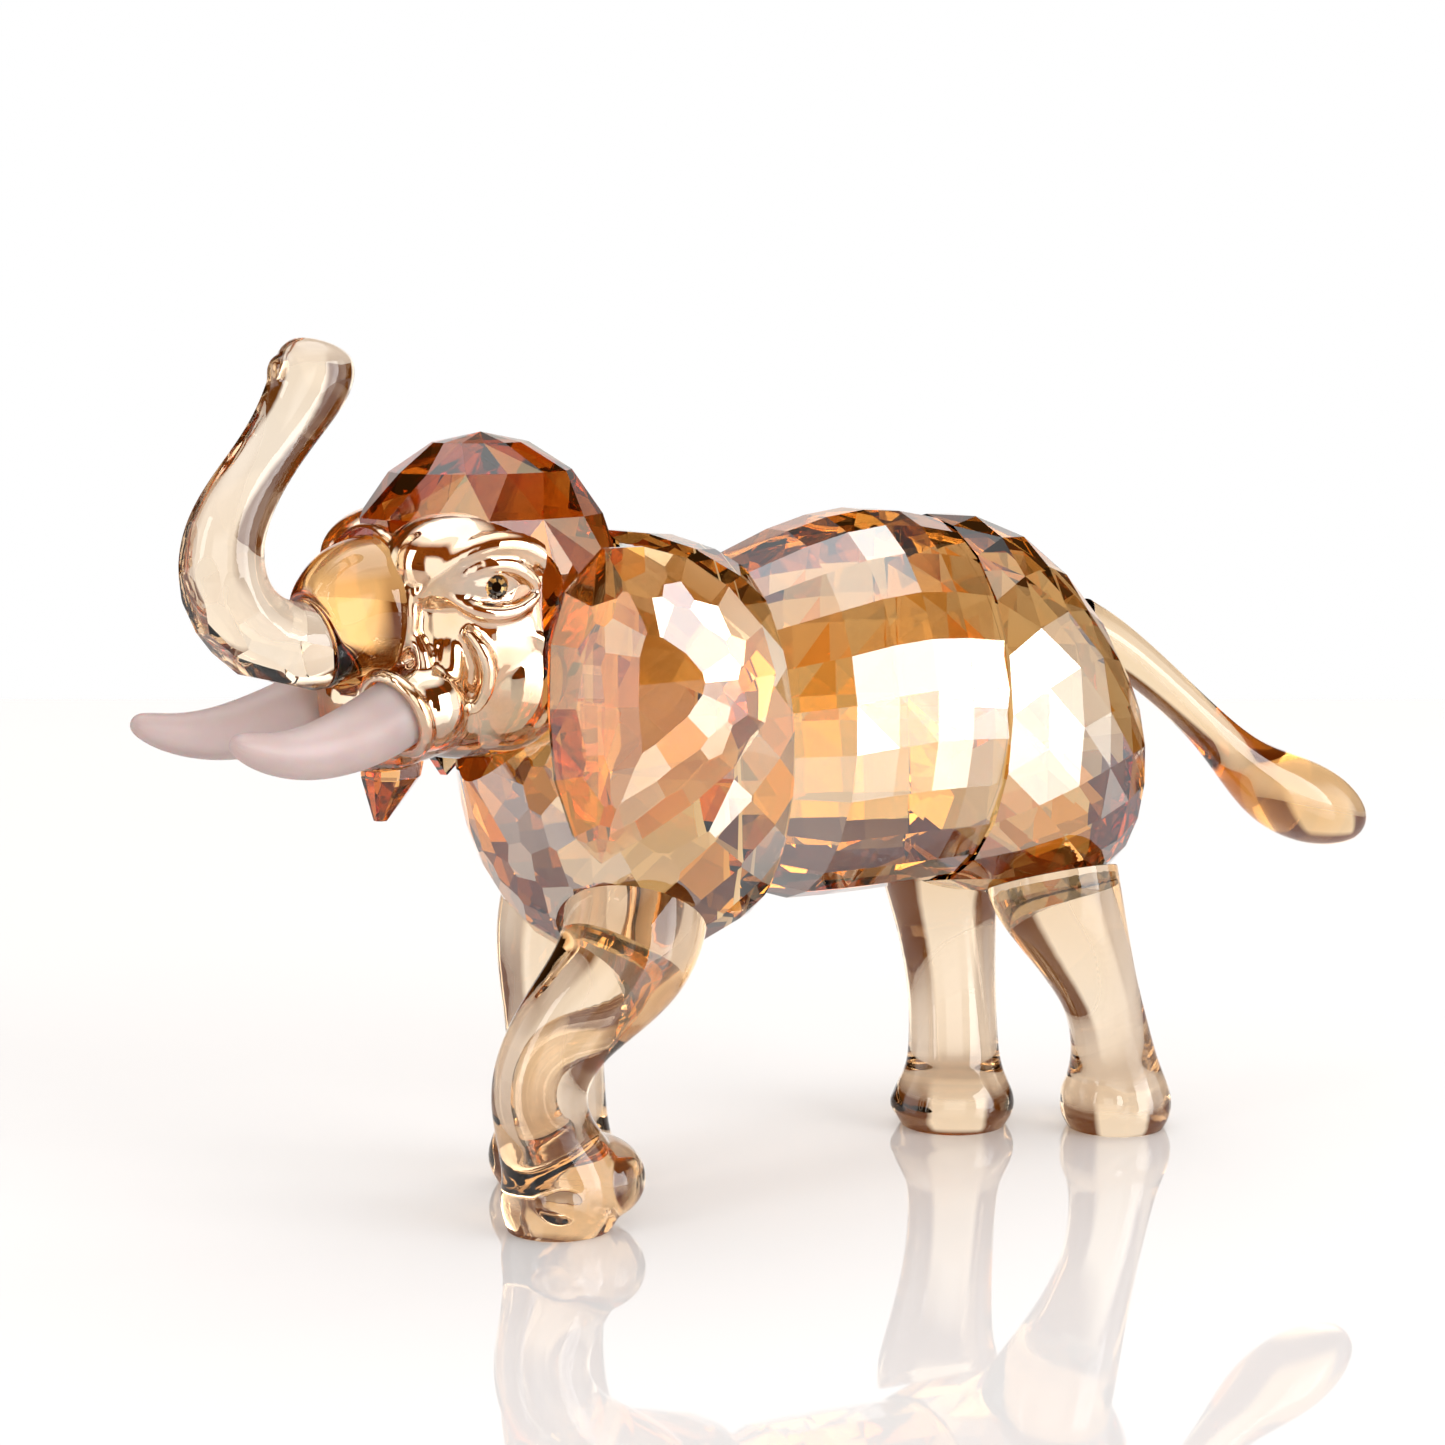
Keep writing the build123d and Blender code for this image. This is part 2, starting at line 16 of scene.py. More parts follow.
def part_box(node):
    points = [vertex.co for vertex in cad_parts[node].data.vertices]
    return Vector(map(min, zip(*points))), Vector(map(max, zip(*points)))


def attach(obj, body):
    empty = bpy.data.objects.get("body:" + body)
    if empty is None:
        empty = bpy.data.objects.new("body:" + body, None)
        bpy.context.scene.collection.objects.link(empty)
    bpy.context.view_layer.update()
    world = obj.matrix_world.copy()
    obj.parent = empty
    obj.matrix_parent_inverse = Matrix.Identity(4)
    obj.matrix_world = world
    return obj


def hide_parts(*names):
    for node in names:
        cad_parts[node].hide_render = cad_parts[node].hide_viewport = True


LOG = logging.getLogger("crystal_elephant")
MM = 0.001
BODY = "root"
SIDES = (-1.0, 1.0)     # left, right
TOUCHING = 1e-6         # metres or radians that make no difference to a shape
DOUBLED = 1e-7          # metres within which two points are one
EGG_SEGMENTS = 40
EGG_RINGS = 24
Pair = tuple[float, float]
Triple = tuple[float, float, float]
Quad = tuple[float, float, float, float]
Pad = tuple[float, float, float, float, float, float]

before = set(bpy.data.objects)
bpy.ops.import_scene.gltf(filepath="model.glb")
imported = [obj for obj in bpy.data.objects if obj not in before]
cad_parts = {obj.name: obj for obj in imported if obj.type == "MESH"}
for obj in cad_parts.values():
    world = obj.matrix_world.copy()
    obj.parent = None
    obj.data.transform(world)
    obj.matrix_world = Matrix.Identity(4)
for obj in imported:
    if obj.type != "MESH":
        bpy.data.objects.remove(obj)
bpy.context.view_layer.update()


# ---- where things are --------------------------------------------------------------------
@dataclass(frozen=True)
class Layout:
    """Turns the figure's own millimetres into places in the frame.

    The barrel's front face and its middle plane are known in both.
    """

    barrel_front: float = -58.15
    head_pivot: float = -80.0
    head_turn: float = 9.0

    def shift(self) -> Vector:
        """Where the figure's own origin lies, in metres."""
        low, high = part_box("barrel")
        return Vector((low.x - self.barrel_front * MM, (low.y + high.y) / 2, 0.0))

    def spot(self, point: Sequence[float]) -> Vector:
        """A point of the body, given in the figure's millimetres."""
        return Vector(point) * MM + self.shift()

    def heading(self, direction: Sequence[float]) -> Vector:
        """A unit direction of the body."""
        return Vector(direction).normalized()

    def turn(self) -> Matrix:
        """The turn of the head about the upright axis."""
        return Matrix.Rotation(math.radians(self.head_turn), 3, "Z")

    def frame_turn(self) -> Matrix:
        """The turn of this layout's own axes."""
        return Matrix.Identity(3)


@dataclass(frozen=True)
class HeadLayout(Layout):
    """The same conversions, with every point and direction given on the straight head."""

    def spot(self, point: Sequence[float]) -> Vector:
        """A point of the head."""
        turned = self.turn() @ Vector(point)
        return (turned + Vector((self.head_pivot, 0.0, 0.0))) * MM + self.shift()

    def heading(self, direction: Sequence[float]) -> Vector:
        """A unit direction of the head."""
        return self.turn() @ Vector(direction).normalized()

    def frame_turn(self) -> Matrix:
        """The turn of this layout's own axes."""
        return self.turn()


BODY_LAYOUT = Layout()
HEAD_LAYOUT = HeadLayout()


# ---- the modelling bench -----------------------------------------------------------------
def deselect() -> None:
    """Leaves nothing selected in object mode."""
    if bpy.context.object and bpy.context.object.mode != "OBJECT":
        leave_edit()
    bpy.ops.object.select_all(action="DESELECT")


def select_only(piece: bpy.types.Object) -> None:
    """Makes one piece the only selected and the active one."""
    deselect()
    piece.select_set(True)
    bpy.context.view_layer.objects.active = piece


def newest(name: str) -> bpy.types.Object:
    """Names the primitive that was just added."""
    piece = bpy.context.object
    piece.name = name
    piece.data.name = name
    return piece


def mirrored(point: Sequence[float], side: float) -> Vector:
    """A point or direction of the right side (side 1), or its mirror image (side -1)."""
    return Vector((point[0], point[1] * side, point[2]))


def settle(piece: bpy.types.Object) -> None:
    """Moves a piece's place, turn and size into its mesh."""
    select_only(piece)
    bpy.ops.object.transform_apply(location=True, rotation=True, scale=True)


def aim(direction: Vector) -> Triple:
    """The turn that points a primitive's Z axis along a direction."""
    return tuple(direction.to_track_quat("Z", "Y").to_euler())


def apply_modifier(piece: bpy.types.Object, kind: str, **settings: Any) -> None:
    """Adds a modifier with these settings and applies it."""
    select_only(piece)
    modifier = piece.modifiers.new(kind.title(), kind)
    for key, value in settings.items():
        setattr(modifier, key, value)
    bpy.ops.object.modifier_apply(modifier=modifier.name)


def refine(piece: bpy.types.Object, levels: int) -> None:
    """Smooths a piece's shape by subdivision."""
    apply_modifier(piece, "SUBSURF", levels=levels, render_levels=levels)


def edit_all(piece: bpy.types.Object) -> None:
    """Enters edit mode with every face of a piece selected."""
    select_only(piece)
    bpy.ops.object.mode_set(mode="EDIT")
    bpy.ops.mesh.select_mode(type="FACE")
    bpy.ops.mesh.select_all(action="SELECT")


def leave_edit() -> None:
    """Goes back to object mode."""
    bpy.ops.object.mode_set(mode="OBJECT")


class Pick(Enum):
    """What is picked in edit mode: faces, or points."""

    FACES = "FACE"
    POINTS = "VERT"


def pick(piece: bpy.types.Object, kind: Pick, test: Callable[[Any], bool]) -> int:
    """Selects the faces or points that pass a test and enters edit mode.

    Args:
        piece: the piece, in object mode.
        kind: whether faces or points are tested.
        test: takes a polygon or a vertex and says whether it is wanted.

    Returns:
        How many were selected.
    """
    select_only(piece)
    mesh = piece.data
    for parts in (mesh.vertices, mesh.edges, mesh.polygons):
        parts.foreach_set("select", [False] * len(parts))
    wanted = mesh.polygons if kind is Pick.FACES else mesh.vertices
    chosen = [bool(test(part)) for part in wanted]
    wanted.foreach_set("select", chosen)
    bpy.ops.object.mode_set(mode="EDIT")
    bpy.ops.mesh.select_mode(type=kind.value)
    return sum(chosen)


def turn_selected(turn: Any, centre: Vector) -> None:
    """Turns what is selected in edit mode by a quaternion about a centre."""
    for axis, angle in zip("XYZ", turn.to_euler("XYZ")):
        if abs(angle) > TOUCHING:
            bpy.ops.transform.rotate(value=-angle, orient_axis=axis, center_override=centre)


def outward_faces(piece: bpy.types.Object) -> None:
    """Merges doubled points and points every face outwards."""
    select_only(piece)
    bpy.ops.object.mode_set(mode="EDIT")
    bpy.ops.mesh.select_all(action="SELECT")
    bpy.ops.mesh.remove_doubles(threshold=DOUBLED)
    bpy.ops.mesh.normals_make_consistent(inside=False)
    leave_edit()


def shade(piece: bpy.types.Object, edge_angle: float) -> None:
    """Shades a piece smooth, apart from edges sharper than an angle in degrees."""
    select_only(piece)
    bpy.ops.object.shade_smooth_by_angle(angle=math.radians(edge_angle))


def join(pieces: Sequence[bpy.types.Object], name: str) -> bpy.types.Object:
    """Joins pieces into one object, without merging them."""
    deselect()
    for piece in pieces:
        piece.select_set(True)
    bpy.context.view_layer.objects.active = pieces[0]
    bpy.ops.object.join()
    return newest(name)


def run_together(parts: Sequence[bpy.types.Object], name: str, voxel: float,
                 smoothing: int) -> bpy.types.Object:
    """Makes one smooth moulded skin round overlapping closed shapes.

    Args:
        parts: the shapes.
        name: the new piece's name.
        voxel: the grid that the skin is drawn on, in millimetres.
        smoothing: how many times the skin is smoothed.

    Returns:
        The piece that holds the skin.
    """
    piece = join(parts, name)
    apply_modifier(piece, "REMESH", mode="VOXEL", voxel_size=voxel * MM)
    apply_modifier(piece, "SMOOTH", factor=0.5, iterations=smoothing)
    select_only(piece)
    bpy.ops.object.shade_smooth()
    return piece


def add_egg(layout: "Layout", place: Sequence[float], half: Sequence[float],
            lean: float = 0.0) -> bpy.types.Object:
    """An egg-shaped swelling.

    Args:
        layout: the body's or the head's layout.
        place: the middle, in the figure's millimetres.
        half: half of its size along, across and up.
        lean: degrees that it leans about the across axis.

    Returns:
        The swelling, at the origin.
    """
    deselect()
    bpy.ops.mesh.primitive_uv_sphere_add(segments=EGG_SEGMENTS, ring_count=EGG_RINGS, radius=MM)
    egg = newest("swell")
    egg.scale = half
    tilted = Matrix.Rotation(math.radians(lean), 3, "Y")
    egg.rotation_euler = (layout.frame_turn() @ tilted).to_euler()
    egg.location = layout.spot(place)
    settle(egg)
    return egg


def combine(piece: bpy.types.Object, other: bpy.types.Object, operation: str) -> None:
    """Cuts one closed shape with another, or adds it, and removes the other."""
    apply_modifier(piece, "BOOLEAN", object=other, operation=operation, solver="EXACT")
    bpy.data.objects.remove(other)


def grind_flat(piece: bpy.types.Object, point: Vector, outward: Vector) -> None:
    """Grinds a flat facet: takes away what lies beyond a plane and closes the cut.

    Args:
        piece: the piece to grind.
        point: a point of the facet.
        outward: the direction that the facet faces.
    """
    edit_all(piece)
    bpy.ops.mesh.bisect(plane_co=point, plane_no=outward, use_fill=True, clear_outer=True,
                        threshold=TOUCHING)
    bpy.ops.mesh.region_to_loop()
    bpy.ops.mesh.mark_sharp()
    leave_edit()


@dataclass(frozen=True)
class Station:
    """One round section of a limb: its middle in the figure's millimetres and its radius."""

    x: float
    y: float
    z: float
    radius: float

    def place(self, layout: Layout) -> Vector:
        """The middle of the section in the frame."""
        return layout.spot((self.x, self.y, self.z))


@dataclass
class Limb:
    """A moulded limb drawn out section by section from its ground seat."""

    name: str
    stations: Sequence[Station]
    first: Sequence[float]
    last: Sequence[float] | None = None
    layout: Layout = BODY_LAYOUT
    sides: int = 16
    levels: int = 3
    hold: float = 0.35
    keep_end: bool = False

    def fullness(self) -> float:
        """How much larger the control ring is than the smooth section it gives."""
        return 3.0 / (2.0 + math.cos(2.0 * math.pi / self.sides))

    def directions(self, centres: Sequence[Vector]) -> list[Vector]:
        """The direction that each section faces."""
        found = []
        for index in range(len(centres)):
            before = centres[max(index - 1, 0)]
            after = centres[min(index + 1, len(centres) - 1)]
            found.append((after - before).normalized())
        found[0] = self.layout.heading(self.first)
        if self.last is not None:
            found[-1] = self.layout.heading(self.last)
        return found

    def sections(self) -> list[tuple[Vector, Vector, float]]:
        """Middle, direction and radius of every section, with tight rings at held ends."""
        centres = [station.place(self.layout) for station in self.stations]
        ways = self.directions(centres)
        radii = [station.radius * MM * self.fullness() for station in self.stations]
        rows = list(zip(centres, ways, radii))
        hold = self.hold * MM
        rows.insert(1, (centres[0] + ways[0] * hold, ways[0], radii[0]))
        if self.keep_end:
            rows.insert(-1, (centres[-1] - ways[-1] * hold, ways[-1], radii[-1]))
        return rows

    def model(self) -> bpy.types.Object:
        """Draws the limb out by extruding, turning and sizing one ring at a time.

        Returns:
            The finished mesh object, at the origin.
        """
        rows = self.sections()
        centre, way, radius = rows[0]
        deselect()
        bpy.ops.mesh.primitive_circle_add(vertices=self.sides, radius=radius, fill_type="NGON",
                                          location=centre, rotation=aim(way))
        piece = newest(self.name)
        settle(piece)
        edit_all(piece)
        for (old, facing, size), (new, ahead, wanted) in zip(rows, rows[1:]):
            move = new - old
            bpy.ops.mesh.extrude_region_move(TRANSFORM_OT_translate={"value": move})
            turn_selected(facing.rotation_difference(ahead), new)
            share = wanted / size
            bpy.ops.transform.resize(value=(share, share, share), center_override=new)
        if self.keep_end:
            bpy.ops.mesh.inset(thickness=self.hold * MM)
        leave_edit()
        self.close_seat(piece, centre, way)
        outward_faces(piece)
        refine(piece, self.levels)
        shade(piece, 40.0)
        return piece

    def close_seat(self, piece: bpy.types.Object, centre: Vector, way: Vector) -> None:
        """Closes the seat end with a flat face that keeps a tight edge.

        Args:
            piece: the limb, in object mode.
            centre: the middle of the seat.
            way: the direction out of the seat, into the limb.
        """
        near = 1e-5
        flat = pick(piece, Pick.FACES, lambda face: abs((face.center - centre).dot(way)) < near)
        if not flat:
            pick(piece, Pick.POINTS, lambda point: abs((point.co - centre).dot(way)) < near)
            bpy.ops.mesh.edge_face_add()
        bpy.ops.mesh.inset(thickness=self.hold * MM)
        leave_edit()


# ---- shader recipes ----------------------------------------------------------------------
@dataclass(frozen=True)
class Signal:
    """A node socket that carries a number, with arithmetic that adds Math nodes."""

    recipe: "Recipe"
    socket: Any

    def math(self, operation: str, *values: Any) -> "Signal":
        """One Math node on these values."""
        inputs = dict(enumerate(values))
        return self.recipe.node("ShaderNodeMath", {"operation": operation}, inputs)

    def __add__(self, other: Any) -> "Signal":
        """Sum."""
        return self.math("ADD", self, other)

    def __radd__(self, other: Any) -> "Signal":
        """Sum with a plain number first."""
        return self.math("ADD", other, self)

    def __sub__(self, other: Any) -> "Signal":
        """Difference."""
        return self.math("SUBTRACT", self, other)

    def __rsub__(self, other: Any) -> "Signal":
        """Difference with a plain number first."""
        return self.math("SUBTRACT", other, self)

    def __mul__(self, other: Any) -> "Signal":
        """Product."""
        return self.math("MULTIPLY", self, other)

    def __rmul__(self, other: Any) -> "Signal":
        """Product with a plain number first."""
        return self.math("MULTIPLY", other, self)

    def limited(self) -> "Signal":
        """The value kept between 0 and 1."""
        return self.math("MINIMUM", self.math("MAXIMUM", self, 0.0), 1.0)

    def rising(self, low: float, high: float) -> "Signal":
        """0 below low, 1 above high, straight between them."""
        return ((self - low) * (1.0 / (high - low))).limited()


FACET_STEP = 0.03           # normals that differ by less get one value
LUSTRE_RANGE = (0.4, 1.0)   # facet values between which the lustre sets in
PAINTED_GLOW_FULL = 0.9            # share of the painted-glow facets that are painted fully orange
# painted glow: the deep orange painted on some facets in place of light reflected round inside the
# glass
PAINTED_GLOW_ORANGE = (0.96, 0.42, 0.07)


class Draw(Enum):
    """Which drawing of facet values a look uses, so that looks don't follow each other."""

    LUSTRE = 1.0
    TINT = 2.0
    SPECK = 3.0
    PAINTED_GLOW = 5.0


class Recipe:
    """One material or world as a chain of nodes."""

    def __init__(self, tree: bpy.types.NodeTree) -> None:
        """Starts from an empty node tree."""
        self.tree = tree
        self.tree.nodes.clear()

    def node(self, kind: str, settings: dict[str, Any] | None = None,
             inputs: dict[Any, Any] | None = None, out: Any = 0) -> Signal:
        """Adds one node.

        Args:
            kind: the node's type.
            settings: its properties, set before its sockets are.
            inputs: values or Signals for its sockets, by name or number.
            out: the output that is wanted, by name or number.

        Returns:
            That output as a Signal.
        """
        made = self.tree.nodes.new(kind)
        for key, value in (settings or {}).items():
            setattr(made, key, value)
        for key, value in (inputs or {}).items():
            socket = made.inputs[key]
            if isinstance(value, Signal):
                self.tree.links.new(value.socket, socket)
            else:
                socket.default_value = value
        return Signal(self, made.outputs[out]) if made.outputs else Signal(self, None)

    def place(self) -> Signal:
        """The place on the piece, in its own metres."""
        return self.node("ShaderNodeTexCoord", out="Object")

    def axes(self, vector: Signal) -> tuple[Signal, Signal, Signal]:
        """The three parts of a vector."""
        made = self.node("ShaderNodeSeparateXYZ", None, {0: vector})
        outputs = made.socket.node.outputs
        return tuple(Signal(self, output) for output in outputs)

    def noise(self, vector: Signal, scale: float, detail: float = 2.0) -> Signal:
        """Soft noise from 0 to 1."""
        return self.node("ShaderNodeTexNoise", None,
                         {"Vector": vector, "Scale": scale, "Detail": detail})

    def facet(self, draw: Draw) -> Signal:
        """A value from 0 to 1 that is the same all over each flat facet."""
        normal = self.node("ShaderNodeNewGeometry", out="True Normal")
        snapped = self.node("ShaderNodeVectorMath", {"operation": "SNAP"},
                            {0: normal, 1: (FACET_STEP,) * 3})
        return self.node("ShaderNodeTexWhiteNoise", {"noise_dimensions": "4D"},
                         {"Vector": snapped, "W": draw.value})

    def mix(self, factor: Any, first: Any, second: Any) -> Signal:
        """A colour between two colours."""
        return self.node("ShaderNodeMix", {"data_type": "RGBA"},
                         {0: factor, 6: first, 7: second}, out=2)

    def absorb(self, absorbed: Any, density: float) -> Signal:
        """Glass that takes in light along its way through the piece."""
        return self.node("ShaderNodeVolumeAbsorption", None,
                         {"Color": absorbed, "Density": density})

    def principled(self, inputs: dict[str, Any]) -> Signal:
        """The main shader with these socket values."""
        return self.node("ShaderNodeBsdfPrincipled", None, inputs)

    def output(self, **shaders: Signal) -> None:
        """Ends a material with its Surface and, in glass, its Volume."""
        self.node("ShaderNodeOutputMaterial", None, shaders)


def start_material(name: str) -> tuple[bpy.types.Material, Recipe, Signal]:
    """A new material, its recipe and the place on the piece."""
    material = bpy.data.materials.new(name)
    material.use_nodes = True
    recipe = Recipe(material.node_tree)
    return material, recipe, recipe.place()


def paint_inner_glow(recipe: "Recipe", base: Signal, share: float) -> Signal:
    """Paints a share of the flat facets a deep orange, a painted glow that stands in for light
    reflected round inside the glass.

    Args:
        recipe: the material's recipe.
        base: the colour of the other facets.
        share: from 0 to 1, how many facets turn.

    Returns:
        The colour of all facets.
    """
    # painted glow: mask of the facets that get the painted orange
    painted_glow_mask = recipe.facet(Draw.PAINTED_GLOW).rising(1.0 - share, 1.0 - share * PAINTED_GLOW_FULL)
    return recipe.mix(painted_glow_mask, base, colour(*PAINTED_GLOW_ORANGE))


def colour(red: float, green: float, blue: float) -> Quad:
    """A solid colour in linear light."""
    return (red, green, blue, 1.0)


@dataclass(frozen=True)
class BondedPlane:
    """A ground joint that the adhesive makes clear: a point in figure millimetres and a normal.

    It reaches this many millimetres from its point.
    """

    point: Triple
    normal: Triple
    slack: float = 0.075
    reach: float = 40.0

    def mask(self, recipe: Recipe, place: Signal) -> Signal:
        """1 on the two faces of the joint and 0 elsewhere.

        Args:
            recipe: the material's recipe.
            place: the place on the piece, in metres.

        Returns:
            The mask as a Signal.
        """
        normal = BODY_LAYOUT.heading(self.normal)
        height = recipe.node("ShaderNodeVectorMath", {"operation": "DOT_PRODUCT"},
                             {0: place, 1: normal}, out="Value")
        middle = BODY_LAYOUT.spot(self.point)
        level = height.math("COMPARE", height, middle.dot(normal), self.slack * MM)
        span = recipe.node("ShaderNodeVectorMath", {"operation": "DISTANCE"},
                           {0: place, 1: middle}, out="Value")
        return level * span.math("LESS_THAN", span, self.reach * MM)


def clear_joints(recipe: Recipe, surface: Signal, place: Signal,
                 planes: Sequence[BondedPlane]) -> Signal:
    """Lets light straight through the joints that are bonded glass to glass.

    Args:
        recipe: the material's recipe.
        surface: the glass shader.
        place: the place on the piece, in metres.
        planes: the bonded joints.

    Returns:
        The shader with its clear joints.
    """
    if not planes:
        return surface
    mask = planes[0].mask(recipe, place)
    for plane in planes[1:]:
        mask = mask.math("MAXIMUM", mask, plane.mask(recipe, place))
    clear = recipe.node("ShaderNodeBsdfTransparent")
    return recipe.node("ShaderNodeMixShader", None, {0: mask, 1: surface, 2: clear})


SHOULDER = BondedPlane((-58.2, 0.0, 69.6), (1.0, 0.0, 0.0))
LOIN = BondedPlane((-21.8, 0.0, 70.8), (1.0, 0.0, 0.0))
NECK = BondedPlane((-76.0, 0.0, 102.0), (-33.0, 0.0, 21.0))
TAIL_SEAT = BondedPlane((6.6, 0.0, 81.2), (0.84, -0.03, -0.54), 0.12, 6.0)
BODY_JOINTS = (SHOULDER, LOIN, NECK, TAIL_SEAT)


@dataclass(frozen=True)
class Crystal:
    """A clear or tinted lead crystal with a very slightly uneven polish.

    Noise scales are per metre and film thickness is in nanometres.  The tint wanders between
    its two colours in soft patches, and on lustred stones also from facet to facet.
    """

    name: str
    slot: str
    tint: Quad
    tint_deep: Quad
    absorbed: Quad
    density: float
    ior: float = 1.56
    roughness: float = 0.0
    film_thickness: float = 0.0
    film_ior: float = 1.33
    patch: float = 60.0
    patch_range: Pair = (0.35, 0.65)
    patch_share: float = 0.4
    grain: float = 900.0
    unevenness: float = 0.006
    bonded: tuple[BondedPlane, ...] = ()
    facet_lustre: float = 0.0
    # share of the facets painted with the orange glow that stands in for light reflected inside
    painted_glow_share: float = 0.0

    def make(self) -> bpy.types.Material:
        """Makes the material."""
        material, recipe, place = start_material(self.name)
        patch = recipe.noise(place, self.patch).rising(*self.patch_range)
        if self.facet_lustre:
            drawn = recipe.facet(Draw.TINT) * (1.0 - self.patch_share)
            patch = patch * self.patch_share + drawn
        base = recipe.mix(patch, self.tint, self.tint_deep)
        # painted glow on a share of the facets
        if self.painted_glow_share:
            base = paint_inner_glow(recipe, base, self.painted_glow_share)
        lustre = recipe.facet(Draw.LUSTRE).rising(*LUSTRE_RANGE) * self.facet_lustre
        polish = self.roughness + recipe.noise(place, self.grain) * self.unevenness
        surface = recipe.principled({
            "Base Color": base,
            "Metallic": lustre,
            "Roughness": polish,
            "IOR": self.ior,
            "Transmission Weight": 1.0,
            "Thin Film Thickness": self.film_thickness,
            "Thin Film IOR": self.film_ior,
        })
        surface = clear_joints(recipe, surface, place, self.bonded)
        recipe.output(Surface=surface, Volume=recipe.absorb(self.absorbed, self.density))
        return material


@dataclass(frozen=True)
class GiltCrystal:
    """Crystal whose smooth face carries a half-silvered golden lustre.

    The lustre fades out between the two heights of its range, in millimetres.
    """

    name: str = "mirror_gilt_crystal"
    slot: str = "mirror_gilt_crystal"
    lustre: float = 0.6
    facet_lustre: float = 0.26
    # share of the cut facets painted with the orange glow that stands in for light reflected inside
    painted_glow_share: float = 0.2
    lustre_range: Pair = (67.0, 76.0)
    edge_scale: float = 120.0
    edge_wander: float = 5.0
    cloud: float = 90.0
    cloud_range: Pair = (0.35, 0.7)
    smooth_tints: tuple[Triple, Triple] = ((0.98, 0.86, 0.7), (0.9, 0.64, 0.36))
    cut_tints: tuple[Triple, Triple] = ((0.98, 0.84, 0.58), (0.88, 0.6, 0.26))
    roughness: float = 0.004
    grain: float = 700.0
    unevenness: float = 0.012
    ior: float = 1.58
    absorbed: Triple = (0.84, 0.55, 0.02)
    density: float = 90.0

    def make(self) -> bpy.types.Material:
        """Makes the material: the lustre covers the moulded face and fades under the chin."""
        material, recipe, place = start_material(self.name)
        moulded = recipe.node("ShaderNodeAttribute", {"attribute_name": "moulded"}, out="Fac")
        height = recipe.axes(place)[2] * (1.0 / MM)
        wander = (recipe.noise(place, self.edge_scale) - 0.5) * self.edge_wander
        smooth_zone = moulded * (height + wander).rising(*self.lustre_range)
        ground = (1.0 - moulded) * recipe.facet(Draw.LUSTRE).rising(*LUSTRE_RANGE) * self.facet_lustre
        clouds = recipe.noise(place, self.cloud).rising(*self.cloud_range)
        smooth = recipe.mix(clouds, *(colour(*tint) for tint in self.smooth_tints))
        cut = recipe.mix(recipe.facet(Draw.TINT), *(colour(*tint) for tint in self.cut_tints))
        # painted glow on a share of the cut facets
        cut = paint_inner_glow(recipe, cut, self.painted_glow_share)
        base = recipe.mix(moulded, cut, smooth)
        surface = recipe.principled({
            "Base Color": base,
            "Metallic": smooth_zone * self.lustre + ground,
            "Roughness": self.roughness + recipe.noise(place, self.grain) * self.unevenness,
            "IOR": self.ior,
            "Transmission Weight": 1.0,
        })
        surface = clear_joints(recipe, surface, place, (NECK,))
        recipe.output(Surface=surface, Volume=recipe.absorb(colour(*self.absorbed), self.density))
        return material


@dataclass(frozen=True)
class FrostedCrystal:
    """Acid-frosted, faintly pink crystal of the tusks."""

    name: str = "frosted_crystal"
    slot: str = "frosted_crystal"
    tints: tuple[Triple, Triple] = ((0.74, 0.62, 0.605), (0.69, 0.56, 0.54))
    cloud: float = 140.0
    cloud_range: Pair = (0.3, 0.7)
    grain: float = 5200.0
    grain_detail: float = 3.0
    grain_depth: float = 0.00004
    grain_strength: float = 0.25
    roughness: float = 0.38
    unevenness: float = 0.12
    ior: float = 1.5
    clearness: float = 0.55
    milkiness: float = 0.6
    milk_depth: float = 0.004

    def make(self) -> bpy.types.Material:
        """Makes the material."""
        material, recipe, place = start_material(self.name)
        cloud = recipe.noise(place, self.cloud).rising(*self.cloud_range)
        base = recipe.mix(cloud, *(colour(*tint) for tint in self.tints))
        grain = recipe.noise(place, self.grain, self.grain_detail)
        bump = recipe.node("ShaderNodeBump", None, {
            "Strength": self.grain_strength, "Distance": self.grain_depth, "Height": grain})
        surface = recipe.principled({
            "Base Color": base,
            "Roughness": self.roughness + cloud * self.unevenness,
            "IOR": self.ior,
            "Transmission Weight": self.clearness,
            "Subsurface Weight": self.milkiness,
            "Subsurface Scale": self.milk_depth,
            "Normal": bump,
        })
        recipe.output(Surface=surface)
        return material


@dataclass(frozen=True)
class EyeStone:
    """Dark foil-backed stone with a golden middle."""

    name: str = "eye_stone"
    slot: str = "eye_stone"
    dark: Triple = (0.012, 0.008, 0.005)
    golds: tuple[Triple, Triple] = ((0.75, 0.52, 0.2), (0.5, 0.28, 0.08))
    speck_range: Pair = (0.62, 0.66)
    haze: float = 600.0
    haze_share: float = 0.4
    metal: float = 0.85
    roughness: float = 0.05
    speck_roughness: float = 0.1

    def make(self) -> bpy.types.Material:
        """Makes the material."""
        material, recipe, place = start_material(self.name)
        speck = recipe.facet(Draw.SPECK).rising(*self.speck_range)
        haze = recipe.noise(place, self.haze) * self.haze_share
        gold = recipe.mix(haze, *(colour(*tint) for tint in self.golds))
        base = recipe.mix(speck, colour(*self.dark), gold)
        surface = recipe.principled({
            "Base Color": base,
            "Metallic": self.metal,
            "Roughness": self.roughness + speck * self.speck_roughness,
            "Coat Weight": 1.0,
        })
        recipe.output(Surface=surface)
        return material


